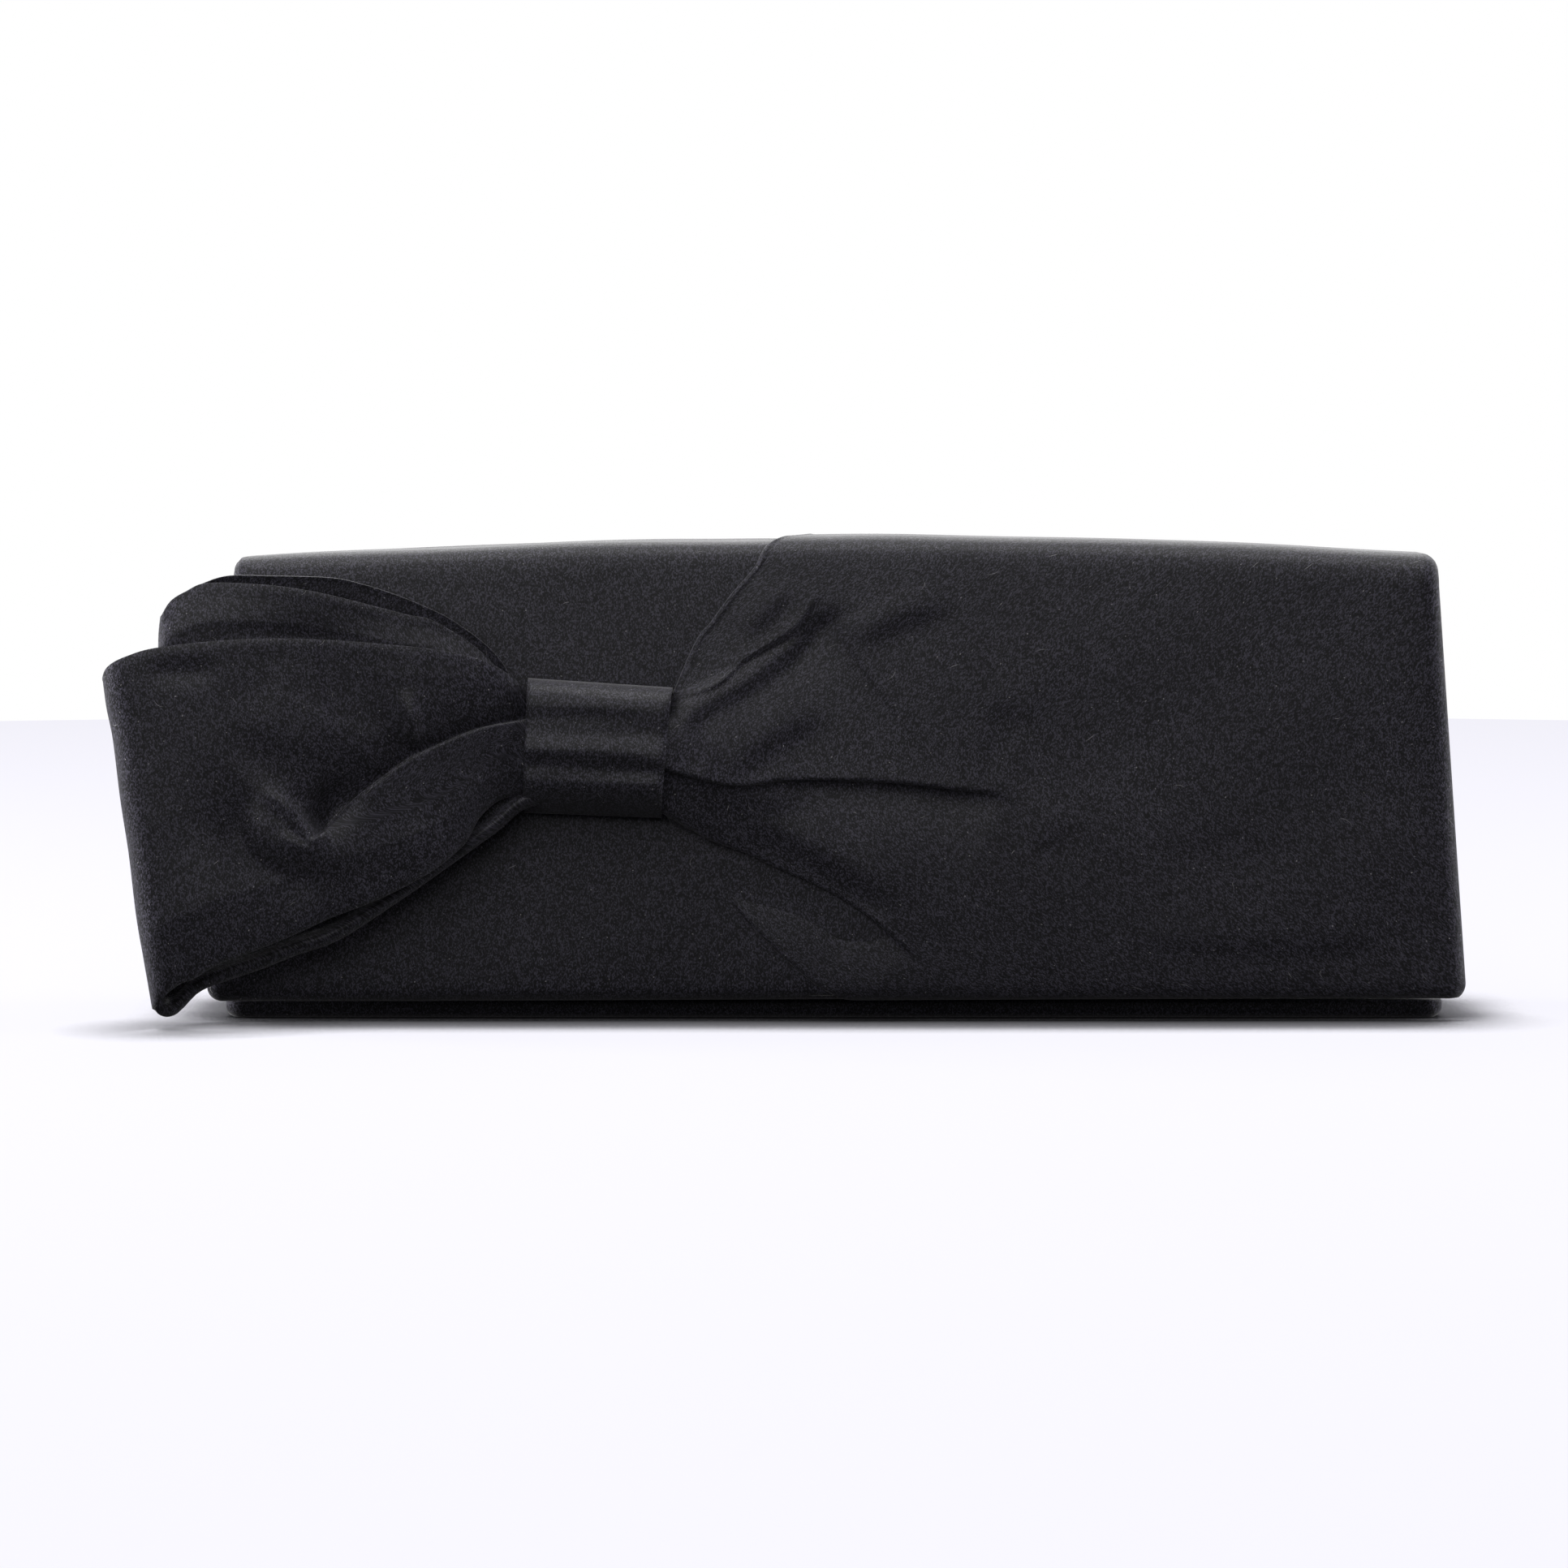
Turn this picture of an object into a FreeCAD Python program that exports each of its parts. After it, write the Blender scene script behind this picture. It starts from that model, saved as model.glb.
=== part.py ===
import FreeCAD, Part
import math
import os
import Sketcher
from FreeCAD import Placement, Rotation, Vector

# Satin evening clutch: a wedge-shaped bag with a folding flap, a magnetic snap and a one-sided bow.
# The bag stands on its base at z = 0, centred in x and y. Its front faces -Y.
# Each panel is drawn flat in its own XZ plane, as it is cut, and then stood up at the lean of the wall.

# Driving dimensions, in millimetres and degrees.
sizes = {
    "bodyLength": 258,  # bag at its base
    "baseDepth": 40,  # front wall face to back wall face, at the base
    "leanAngle": 6.3,  # how far each wall leans in
    "baseRise": 4,  # height of the base tray
    "baseRim": 1.6,  # padded edge of the base tray
    "baseFloor": 0.6,  # covered underside of the base tray
    "baseBoard": 2.4,
    "satin": 0.5,
    "wallBoard": 1.4,
    "lining": 0.4,
    "coverRim": 0.8,  # satin turned over the edge of a board
    "boardCorner": 2,
    "foldGap": 0.3,  # slack left at every fold line
    "seamGap": 0.1,  # room that a stitched seam leaves
    "wallInset": 0.8,  # wall ends, in from the ends of the base
    "gussetFold": 16,  # how far the gusset pleat reaches in, at the mouth
    "mouthClearance": 2.5,  # top of the front wall to the flap's lining
    "pocketWidth": 150,
    "pocketHeight": 52,
    "pocketRise": 14,  # foot of the pocket above the foot of the back wall
    "pocketCloth": 0.5,
    "pocketRoom": 1,
    "pocketHem": 8,
    "hemOverhang": 3.5,  # flap's lower edge, past each end of the base
    "flapTaper": 2,  # flap's top edge, in from each end of the base
    "wallTopInset": 3,  # walls at the top, in from each end of the flap
    "flapDrop": 90.7,  # flap from its fold to its lower edge
    "hemDrop": 0.5,  # lower edge of the flap below the foot of the wall
    "flapBoard": 1.2,
    "wadding": 1.6,
    "spineRadius": 6,  # soft edge between the top and the faces
    "spinePad": 2.4,
    "crownRise": 4,  # the top edge is higher in its middle
    "snapRise": 18,  # snap above the flap's lower edge
    "snapRadius": 7,
    "snapBore": 2.6,
    "snapMetal": 0.4,
    "socketDepth": 2.2,
    "studDisc": 1.1,
    "studRadius": 1.9,
    "studLength": 1.8,
    "snapClearance": 0.3,
    "washerRadius": 5.5,
    "washer": 0.5,
    "sash": 1.2,  # doubled satin of the sash
    "sashHemReach": 34.6,  # from the knot to where the sash crosses the lower edge
    "sashTopReach": 21.6,  # from the knot to where it crosses the top
    "sashSweep": 62,  # radius of its upper edge
    "gatherReach": 42,  # length of the gathers beside the knot
    "gatherSpread": 21,
    "knotInset": 82.7,  # middle of the knot, in from the left end of the lower edge
    "knotDrop": 38.4,  # middle of the knot, down from the fold at the top
    "knotWidth": 31.4,
    "knotHeight": 28,
    "knotDepth": 13,
    "knotBand": 1.2,
    "knotRound": 5,
    "bowCloth": 1.2,
    "loopGap": 0.3,
    "loopRoot": 14,  # length over which the layers of a loop lie together
    "frontLoopReach": 86.5,
    "frontLoopRise": 16.7,  # end of its upper edge, above the middle of the knot
    "frontLoopFoot": 3.4,  # below the flap's lower edge
    "frontLoopSlant": 10,  # how far its end leans in, down to its foot
    "frontLoopToe": 8,  # its foot, along the lower edge
    "frontLoopRadius": 7,
    "frontLoopCrown": 120,  # radius of its upper edge
    "frontLoopBelly": 152,  # radius of its lower edge
    "rearLoopReach": 76,
    "rearLoopRise": 31.7,
    "rearLoopFall": 16.3,  # end of its lower edge, below the middle of the knot
    "rearLoopRadius": 3.2,
    "rearLoopCrown": 65.5,
}

doc = FreeCAD.newDocument("Clutch")
sheet = doc.addObject("Spreadsheet::Sheet", "Sizes")
for row, (alias, value) in enumerate(sizes.items(), start=1):
    sheet.set(f"A{row}", alias)
    sheet.set(f"B{row}", str(value))
    sheet.setAlias(f"B{row}", alias)
doc.recompute()

# Lengths and places that follow from the driving dimensions.
lean = "(Sizes.leanAngle * 1 deg)"
wallStack = "(Sizes.satin + Sizes.wallBoard + Sizes.lining)"
flapStack = "(Sizes.satin + Sizes.wadding + Sizes.flapBoard + Sizes.lining)"
spineStack = "(Sizes.satin + Sizes.spinePad + Sizes.lining)"
snapGap = "(Sizes.socketDepth + Sizes.studDisc + Sizes.snapClearance)"
flapOffset = f"({snapGap} + {flapStack})"
footZ = f"(Sizes.baseRise + Sizes.foldGap + {wallStack} * sin({lean}))"
flapY = f"(-Sizes.baseDepth / 2 - {flapOffset} * cos({lean}) - Sizes.hemDrop * sin({lean}))"
flapZ = f"({footZ} + {flapOffset} * sin({lean}) - Sizes.hemDrop * cos({lean}))"
spineZ = f"({flapZ} + Sizes.flapDrop * cos({lean}))"
spineFrontY = f"({flapY} + Sizes.flapDrop * sin({lean}))"
spineBackY = f"(Sizes.baseDepth / 2 - ({spineZ} - {footZ}) * tan({lean}))"
flapHeight = "(Sizes.flapDrop - Sizes.foldGap)"
backHeight = f"(({spineZ} - {footZ}) / cos({lean}) - Sizes.foldGap)"
mouthZ = f"({spineZ} + Sizes.spineRadius - {spineStack} - Sizes.crownRise - Sizes.mouthClearance)"
frontHeight = f"(({mouthZ} - {footZ}) / cos({lean}))"
baseHalf = "(Sizes.bodyLength / 2)"
wallHalf = f"({baseHalf} - Sizes.wallInset)"
hemHalf = f"({baseHalf} + Sizes.hemOverhang)"
flapTopHalf = f"({baseHalf} - Sizes.flapTaper)"
wallTopHalf = f"({flapTopHalf} - Sizes.wallTopInset)"
crownRadius = f"(({flapTopHalf} ^ 2 + Sizes.crownRise ^ 2) / (2 * Sizes.crownRise))"
snapWallZ = "(Sizes.snapRise - Sizes.hemDrop)"
knotX = f"(Sizes.knotInset - {hemHalf})"
knotZ = "(Sizes.flapDrop - Sizes.knotDrop)"
knotLeft = f"({knotX} - Sizes.knotWidth / 2)"
knotRight = f"({knotX} + Sizes.knotWidth / 2)"
knotLow = f"({knotZ} - Sizes.knotHeight / 2)"
knotHigh = f"({knotZ} + Sizes.knotHeight / 2)"
sashHemX = f"({knotRight} + Sizes.sashHemReach)"
sashTopX = f"({knotRight} + Sizes.sashTopReach)"
coreDepth = "(Sizes.knotDepth - 2 * Sizes.knotBand)"
loopThickness = f"(({coreDepth} - Sizes.loopGap) / 2)"


def number(expression):
    return float(sheet.evalExpression(expression))


def newBody(label, y="0", z="0", leanAxis=0):
    """A body stood on the line (y, z), leaning back for leanAxis -1 and forward for +1."""
    body = doc.addObject("PartDesign::Body", label)
    body.Label = label
    if leanAxis:
        body.Placement = Placement(Vector(0, 0, 0), Rotation(Vector(leanAxis, 0, 0), 1))
        body.setExpression("Placement.Rotation.Angle", "Sizes.leanAngle")
    body.setExpression("Placement.Base.y", y)
    body.setExpression("Placement.Base.z", z)
    return body


def frontWallBody(label):
    return newBody(label, "-Sizes.baseDepth / 2", footZ, -1)


def backWallBody(label):
    return newBody(label, "Sizes.baseDepth / 2", footZ, 1)


def flapBody(label):
    return newBody(label, flapY, flapZ, -1)


# ---- sketches: every corner is held by two distances from the origin, bound to the sheet ----


def newSketch(body, role, lift="0"):
    sketch = body.newObject("Sketcher::SketchObject", "Outline")
    plane = next(f for f in body.Origin.OriginFeatures if f.Role == role)
    sketch.AttachmentSupport = [(plane, "")]
    sketch.MapMode = "FlatFace"
    sketch.setExpression("AttachmentOffset.Base.z", lift)
    return sketch


def bound(sketch, kind, elements, expression):
    index = sketch.addConstraint(Sketcher.Constraint(kind, *elements, number(expression)))
    sketch.setExpression(f"Constraints[{index}]", expression)


def arcBetween(start, end, radius):
    """Arc that bulges to the right of its way for a positive radius, to the left for a negative one."""
    chord = end - start
    side = math.copysign(1, radius)
    rise = math.sqrt(max(radius * radius - chord.Length**2 / 4, 0))
    centre = (start + end) * 0.5 + Vector(-chord.y, chord.x, 0).normalize() * rise * side
    first, last = (start, end) if radius > 0 else (end, start)
    angles = [math.atan2(p.y - centre.y, p.x - centre.x) for p in (first, last)]
    return Part.ArcOfCircle(Part.Circle(centre, Vector(0, 0, 1), abs(radius)), *angles)


def addLoop(sketch, corners):
    """A closed outline, counter-clockwise. A corner is (x, y), or (x, y, radius) where an arc leaves it."""
    places = [Vector(number(c[0]), number(c[1]), 0) for c in corners]
    edges = []
    for i, corner in enumerate(corners):
        start, end = places[i], places[(i + 1) % len(corners)]
        if len(corner) == 2:
            edges.append((sketch.addGeometry(Part.LineSegment(start, end)), 1, 2))
            continue
        radius = number(corner[2])
        edge = sketch.addGeometry(arcBetween(start, end, radius))
        bound(sketch, "Radius", (edge,), corner[2] if radius > 0 else f"-({corner[2]})")
        edges.append((edge, 1, 2) if radius > 0 else (edge, 2, 1))
    for i, (edge, startEnd, _) in enumerate(edges):
        before, _, beforeEnd = edges[i - 1]
        sketch.addConstraint(Sketcher.Constraint("Coincident", before, beforeEnd, edge, startEnd))
        bound(sketch, "DistanceX", (-1, 1, edge, startEnd), corners[i][0])
        bound(sketch, "DistanceY", (-1, 1, edge, startEnd), corners[i][1])
    return sketch


def addCircle(sketch, x, y, radius):
    centre = Vector(number(x), number(y), 0)
    circle = sketch.addGeometry(Part.Circle(centre, Vector(0, 0, 1), number(radius)))
    bound(sketch, "DistanceX", (-1, 1, circle, 3), x)
    bound(sketch, "DistanceY", (-1, 1, circle, 3), y)
    bound(sketch, "Radius", (circle,), radius)
    return sketch


def trapezoid(bottomHalf, topHalf, height, foot="0"):
    return [
        (f"-{bottomHalf}", foot),
        (bottomHalf, foot),
        (topHalf, height),
        (f"-{topHalf}", height),
    ]


def crownSag(half):
    """How far the crowned top edge has dropped at half of its length."""
    return f"({crownRadius} - sqrt({crownRadius} ^ 2 - {half} ^ 2))"


def crowned(bottomHalf, topHalf, height, foot="0"):
    """Trapezoid whose top edge is the crown's arc."""
    ends = f"({height} - {crownSag(topHalf)})"
    return [
        (f"-{bottomHalf}", foot),
        (bottomHalf, foot),
        (topHalf, ends, crownRadius),
        (f"-{topHalf}", ends),
    ]


def roundedRectangle(x0, y0, x1, y1, radius):
    return [
        (f"{x0} + {radius}", y0),
        (f"{x1} - {radius}", y0, radius),
        (x1, f"{y0} + {radius}"),
        (x1, f"{y1} - {radius}", radius),
        (f"{x1} - {radius}", y1),
        (f"{x0} + {radius}", y1, radius),
        (x0, f"{y1} - {radius}"),
        (x0, f"{y0} + {radius}", radius),
    ]


# ---- features ----


def pad(body, sketch, length, reverse=False):
    feature = body.newObject("PartDesign::Pad", "Pad")
    feature.Profile = sketch
    feature.Reversed = reverse
    feature.setExpression("Length", length)
    doc.recompute()
    return feature


def pocket(body, sketch, depth=None, reverse=False):
    """A cut of that depth, or right through both ways."""
    before = body.Shape.Volume
    feature = body.newObject("PartDesign::Pocket", "Pocket")
    feature.Profile = sketch
    feature.Reversed = reverse
    if depth is None:
        feature.Type = "ThroughAll"
        feature.Midplane = True
    else:
        feature.setExpression("Length", depth)
    doc.recompute()
    if body.Shape.Volume >= before - 1e-6:
        raise RuntimeError(f"{body.Label}: a pocket cuts nothing")
    return feature


def fillet(body, radius, wanted):
    """Rounds the edges of the tip for which wanted(edge) holds."""
    tip = body.Tip
    names = [f"Edge{i}" for i, edge in enumerate(tip.Shape.Edges, start=1) if wanted(edge)]
    if not names:
        raise RuntimeError(f"{body.Label}: no edges to round")
    feature = body.newObject("PartDesign::Fillet", "Fillet")
    feature.Base = (tip, names)
    feature.setExpression("Radius", radius)
    doc.recompute()
    return feature


def isThrough(edge):
    """An edge that runs through the thickness of a panel drawn in its XZ plane."""
    ends = edge.Vertexes
    if len(ends) < 2:
        return False
    along = ends[-1].Point - ends[0].Point
    return abs(along.y) > 1e-6 and abs(along.x) < 1e-6 and abs(along.z) < 1e-6


def faceDistance(edge):
    """How near an edge comes to the plane of the panel's outer face."""
    return min(abs(edge.BoundBox.YMin), abs(edge.BoundBox.YMax))


def liesAt(edge, axis, place):
    box = edge.BoundBox
    low, high = (box.YMin, box.YMax) if axis == "y" else (box.ZMin, box.ZMax)
    return abs(low - place) < 1e-4 and abs(high - place) < 1e-4


def sheetPanel(body, corners, start, thickness, inward, corner=None):
    """A flat panel from start to start + thickness behind its outer face. inward is +1 or -1 along Y."""
    lift = start if inward < 0 else f"-({start})"
    pad(body, addLoop(newSketch(body, "XZ_Plane", lift), corners), thickness, inward > 0)
    if corner:
        fillet(body, corner, isThrough)
    return body


def coverPanel(body, outer, inner, stack, inward):
    """A satin cover: a face with its edges turned in over the boards, and its outer edge rounded."""
    sheetPanel(body, outer, "0", stack, inward)
    lift = "Sizes.satin" if inward < 0 else "-Sizes.satin"
    pocket(body, addLoop(newSketch(body, "XZ_Plane", lift), inner), stack, inward < 0)
    split = number("Sizes.satin") / 2
    corner = "Sizes.boardCorner"
    fillet(body, corner, lambda edge: isThrough(edge) and faceDistance(edge) > split)
    fillet(body, f"{corner} + Sizes.coverRim", lambda edge: isThrough(edge) and faceDistance(edge) < split)
    fillet(body, "Sizes.satin + Sizes.coverRim", lambda edge: liesAt(edge, "y", 0))
    return body


def roundHole(body, z, radius):
    pocket(body, addCircle(newSketch(body, "XZ_Plane"), "0", z, radius))


def recess(body, z, radius, start, depth, inward):
    """A round recess in a board, from start and depth deeper."""
    lift = start if inward < 0 else f"-({start})"
    pocket(body, addCircle(newSketch(body, "XZ_Plane", lift), "0", z, radius), depth, inward < 0)


# ---- base ----


def buildBase():
    half, depth = baseHalf, "(Sizes.baseDepth / 2)"
    rim, corner, floor = "Sizes.baseRim", "Sizes.boardCorner", "Sizes.baseFloor"

    def plan(body, height, inset, radius):
        """The outline of the base at a height, drawn in from its edge by inset."""
        x, y = f"({half} - {inset})", f"({depth} - {inset})"
        return addLoop(newSketch(body, "XY_Plane", height), roundedRectangle(f"-{x}", f"-{y}", x, y, radius))

    cover = newBody("base_cover")
    pad(cover, plan(cover, "0", "0", f"({corner} + {rim})"), "Sizes.baseRise")
    fillet(cover, f"{rim} + {floor}", lambda edge: liesAt(edge, "z", 0))
    pocket(cover, plan(cover, floor, rim, corner), "Sizes.baseRise", True)

    inset = f"({rim} + Sizes.seamGap)"
    board = newBody("base_board")
    pad(board, plan(board, floor, inset, corner), "Sizes.baseBoard")
    lining = newBody("base_lining")
    pad(lining, plan(lining, f"{floor} + Sizes.baseBoard", inset, corner), "Sizes.lining")


# ---- walls ----


def wallOutline(shape, inset, height):
    return shape(f"({wallHalf} - {inset})", f"({wallTopHalf} - {inset})", f"({height} - {inset})", inset)


def buildWall(side, body, shape, height, inward):
    """Cover, board and lining of one wall, from the outside in."""
    corner = "Sizes.boardCorner"
    outer = wallOutline(shape, "0", height)
    inner = wallOutline(shape, "Sizes.coverRim", height)
    boardTop = "(Sizes.satin + Sizes.wallBoard)"
    cover = coverPanel(body(f"{side}_cover"), outer, inner, boardTop, inward)
    board = sheetPanel(body(f"{side}_board"), inner, "Sizes.satin", "Sizes.wallBoard", inward, corner)
    sheetPanel(body(f"{side}_lining"), outer, boardTop, "Sizes.lining", inward, corner)
    return cover, board


def buildPocket():
    """A slip pocket on the back lining: a patch that is open at the top, and its hem."""
    depth = "(Sizes.pocketRoom + Sizes.pocketCloth)"
    half = "(Sizes.pocketWidth / 2)"
    foot, top = "Sizes.pocketRise", "(Sizes.pocketRise + Sizes.pocketHeight)"
    patch = sheetPanel(backWallBody("slip_pocket"), trapezoid(half, half, top, foot), wallStack, depth, -1)
    edge = "Sizes.coverRim"
    room = trapezoid(f"({half} - {edge})", f"({half} - {edge})", f"({top} + {edge})", f"({foot} + {edge})")
    pocket(patch, addLoop(newSketch(patch, "XZ_Plane", wallStack), room), "Sizes.pocketRoom", True)
    hem = trapezoid(half, half, top, f"({top} - Sizes.pocketHem)")
    sheetPanel(backWallBody("pocket_hem"), hem, f"{wallStack} + {depth}", "Sizes.lining", -1)


def buildGussets():
    """Pleated satin sides, flat at the base and folded in at the mouth, each with its lining."""
    bottom, top = "(Sizes.baseRise + Sizes.foldGap)", f"({mouthZ} - Sizes.mouthClearance)"

    def section(body, side, z, fold, start, thickness):
        rise = f"(({z} - {footZ}) / ({mouthZ} - {footZ}))"
        end = f"({wallHalf} - ({wallHalf} - {wallTopHalf}) * {rise} - Sizes.coverRim - {start})"
        y = (
            f"(Sizes.baseDepth / 2 - ({z} - {footZ}) * tan({lean})"
            f" - {wallStack} / cos({lean}) - Sizes.seamGap)"
        )
        far = f"({end} - {thickness})"
        corners = [
            (f"{side} * {end}", f"-{y}"),
            (f"{side} * {end}", y),
            (f"{side} * {far}", y),
            (f"{side} * ({far} - {fold})", "0"),
            (f"{side} * {far}", f"-{y}"),
        ]
        corners.insert(1, (f"{side} * ({end} - {fold})", "0"))
        if side < 0:
            corners.reverse()
        return addLoop(newSketch(body, "XY_Plane", z), corners)

    for side, name in ((-1, "left"), (1, "right")):
        for label, start, thickness in (
            (f"{name}_gusset", "0", "Sizes.satin"),
            (f"{name}_gusset_lining", "(Sizes.satin + Sizes.seamGap)", "Sizes.lining"),
        ):
            body = newBody(label)
            foot = section(body, side, bottom, "Sizes.coverRim", start, thickness)
            mouth = section(body, side, top, "Sizes.gussetFold", start, thickness)
            loft = body.newObject("PartDesign::AdditiveLoft", "Loft")
            loft.Profile = foot
            loft.Sections = [mouth]
            loft.Ruled = True
            doc.recompute()


# ---- flap: spine over the top, panel down the front ----


def buildSpine():
    """Strips that run over the top as nested arches, swept round the crown's centre."""
    y0, y1, radius = spineFrontY, spineBackY, "Sizes.spineRadius"

    def frontHalf(inset, thickness):
        """An arch's front leg and the start of its top, inside and outside, to be closed at the back."""
        outer, inner = f"({radius} - {inset})", f"({radius} - {inset} - {thickness})"
        start = [(f"{y0} + {inset}", spineZ), (f"{y0} + {inset} + {thickness}", spineZ, f"-{inner}")]
        top = [(f"{y0} + {radius}", f"{spineZ} + {inner}")]
        return start + top, [(f"{y0} + {radius}", f"{spineZ} + {outer}", outer)], outer, inner

    def sweep(label, corners, leftHalf, rightHalf):
        body = newBody(label)
        sketch = addLoop(newSketch(body, "YZ_Plane"), corners)
        centre = f"{spineZ} + {radius} - {crownRadius}"
        line = Part.LineSegment(Vector(0, number(centre), 0), Vector(1, number(centre), 0))
        axis = sketch.addGeometry(line, True)
        sketch.addConstraint(Sketcher.Constraint("Horizontal", axis))
        bound(sketch, "DistanceX", (-1, 1, axis, 1), "0")
        bound(sketch, "DistanceY", (-1, 1, axis, 1), centre)
        bound(sketch, "DistanceX", (axis, 1, axis, 2), "1")
        turn = body.newObject("PartDesign::Revolution", "Sweep")
        turn.Profile = sketch
        turn.ReferenceAxis = (sketch, ["Axis0"])
        turn.Type = "TwoAngles"
        turn.setExpression("Angle", f"asin({rightHalf} / {crownRadius})")
        turn.setExpression("Angle2", f"asin({leftHalf} / {crownRadius})")
        doc.recompute()

    def arch(label, inset, thickness, half):
        front, end, outer, inner = frontHalf(inset, thickness)
        back = [
            (f"{y1} - {radius}", f"{spineZ} + {inner}", f"-{inner}"),
            (f"{y1} - {inset} - {thickness}", spineZ),
            (f"{y1} - {inset}", spineZ, outer),
            (f"{y1} - {radius}", f"{spineZ} + {outer}"),
        ]
        sweep(label, front + back + end, half, half)

    half = flapTopHalf
    under = f"({half} - Sizes.coverRim)"
    arch("spine_cover", "0", "Sizes.satin", half)
    arch("spine_pad", "Sizes.satin", "Sizes.spinePad", under)
    arch("spine_lining", "(Sizes.satin + Sizes.spinePad)", "Sizes.lining", under)

    # The sash stops at the far edge of the top, clear of the seam that the spine turns on.
    front, end, outer, inner = frontHalf("(-Sizes.sash)", "Sizes.sash")
    back = [(f"{y1} - {radius}", f"{spineZ} + {inner}"), (f"{y1} - {radius}", f"{spineZ} + {outer}")]
    sweep("sash_spine", front + back + end, f"-{sashTopX}", half)


def flapOutline(inset):
    halves = f"({hemHalf} - {inset})", f"({flapTopHalf} - {inset})"
    return crowned(*halves, f"({flapHeight} - {inset})", inset)


def buildFlap():
    rim, corner = "Sizes.coverRim", "Sizes.boardCorner"
    outer, inner = flapOutline("0"), flapOutline(rim)
    padded = "(Sizes.satin + Sizes.wadding)"
    wrapped = f"({padded} + Sizes.flapBoard)"
    coverPanel(flapBody("flap_cover"), outer, inner, wrapped, 1)
    sheetPanel(flapBody("flap_wadding"), inner, "Sizes.satin", "Sizes.wadding", 1, corner)
    board = sheetPanel(flapBody("flap_board"), inner, padded, "Sizes.flapBoard", 1, corner)
    lining = sheetPanel(flapBody("flap_lining"), outer, wrapped, "Sizes.lining", 1, corner)
    return board, lining


# ---- magnetic snap ----


def snapPart(label, newPart, z, profile):
    """A turned metal part on the snap's axis, along Y at height z. Its profile is radius against y."""
    body = newPart(label)
    sketch = newSketch(body, "XY_Plane", z)
    addLoop(sketch, profile)
    turn = body.newObject("PartDesign::Revolution", "Turn")
    turn.Profile = sketch
    turn.ReferenceAxis = (sketch, ["V_Axis"])
    turn.Angle = 360
    doc.recompute()
    return body


def turned(inner, outer, y0, y1):
    return [(inner, y0), (outer, y0), (outer, y1), (inner, y1)]


def buildSnap(frontWall, flapBoard, flapLining):
    cover, board = frontWall
    bore, metal = "Sizes.snapBore", "Sizes.snapMetal"
    tube = f"({bore} + {metal})"
    hole = f"({tube} + Sizes.snapClearance)"
    roundHole(cover, snapWallZ, hole)
    roundHole(board, snapWallZ, hole)
    wallFace = "(Sizes.satin + Sizes.wallBoard)"
    seat = "(Sizes.washerRadius + Sizes.snapClearance)"
    recess(board, snapWallZ, seat, f"({wallFace} - Sizes.washer)", "Sizes.washer", 1)

    depth, rim = "Sizes.socketDepth", "Sizes.snapRadius"
    socket = [
        (bore, f"-{depth}"),
        (rim, f"-{depth}"),
        (rim, "0"),
        (f"{rim} - {metal}", "0"),
        (f"{rim} - {metal}", f"-{depth} + {metal}"),
        (tube, f"-{depth} + {metal}"),
        (tube, f"{wallFace} - Sizes.washer"),
        (bore, f"{wallFace} - Sizes.washer"),
    ]
    snapPart("snap_socket", frontWallBody, snapWallZ, socket)
    insideRim = f"{rim} - {metal} - Sizes.seamGap"
    magnet = turned(f"{tube} + Sizes.seamGap", insideRim, f"-{depth} + {metal}", "0")
    snapPart("snap_magnet", frontWallBody, snapWallZ, magnet)
    washer = turned(bore, "Sizes.washerRadius", f"{wallFace} - Sizes.washer", wallFace)
    snapPart("socket_washer", frontWallBody, snapWallZ, washer)

    boardFace = "(Sizes.satin + Sizes.wadding)"
    inside, stud = flapStack, "Sizes.studRadius"
    shank = f"({stud} + Sizes.snapClearance)"
    for part in (flapBoard, flapLining):
        roundHole(part, "Sizes.snapRise", shank)
    recess(flapBoard, "Sizes.snapRise", seat, boardFace, "Sizes.washer", 1)
    tip = f"{inside} + Sizes.studDisc + Sizes.studLength"
    studProfile = [
        ("0", f"{boardFace} + Sizes.washer"),
        (stud, f"{boardFace} + Sizes.washer"),
        (stud, inside),
        (rim, inside),
        (rim, f"{inside} + Sizes.studDisc"),
        (stud, f"{inside} + Sizes.studDisc"),
        (stud, tip),
        ("0", tip),
    ]
    snapPart("snap_stud", flapBody, "Sizes.snapRise", studProfile)
    studWasher = turned("0", "Sizes.washerRadius", boardFace, f"{boardFace} + Sizes.washer")
    snapPart("stud_washer", flapBody, "Sizes.snapRise", studWasher)


# ---- sash and bow, drawn in the plane of the flap's face ----


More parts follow.
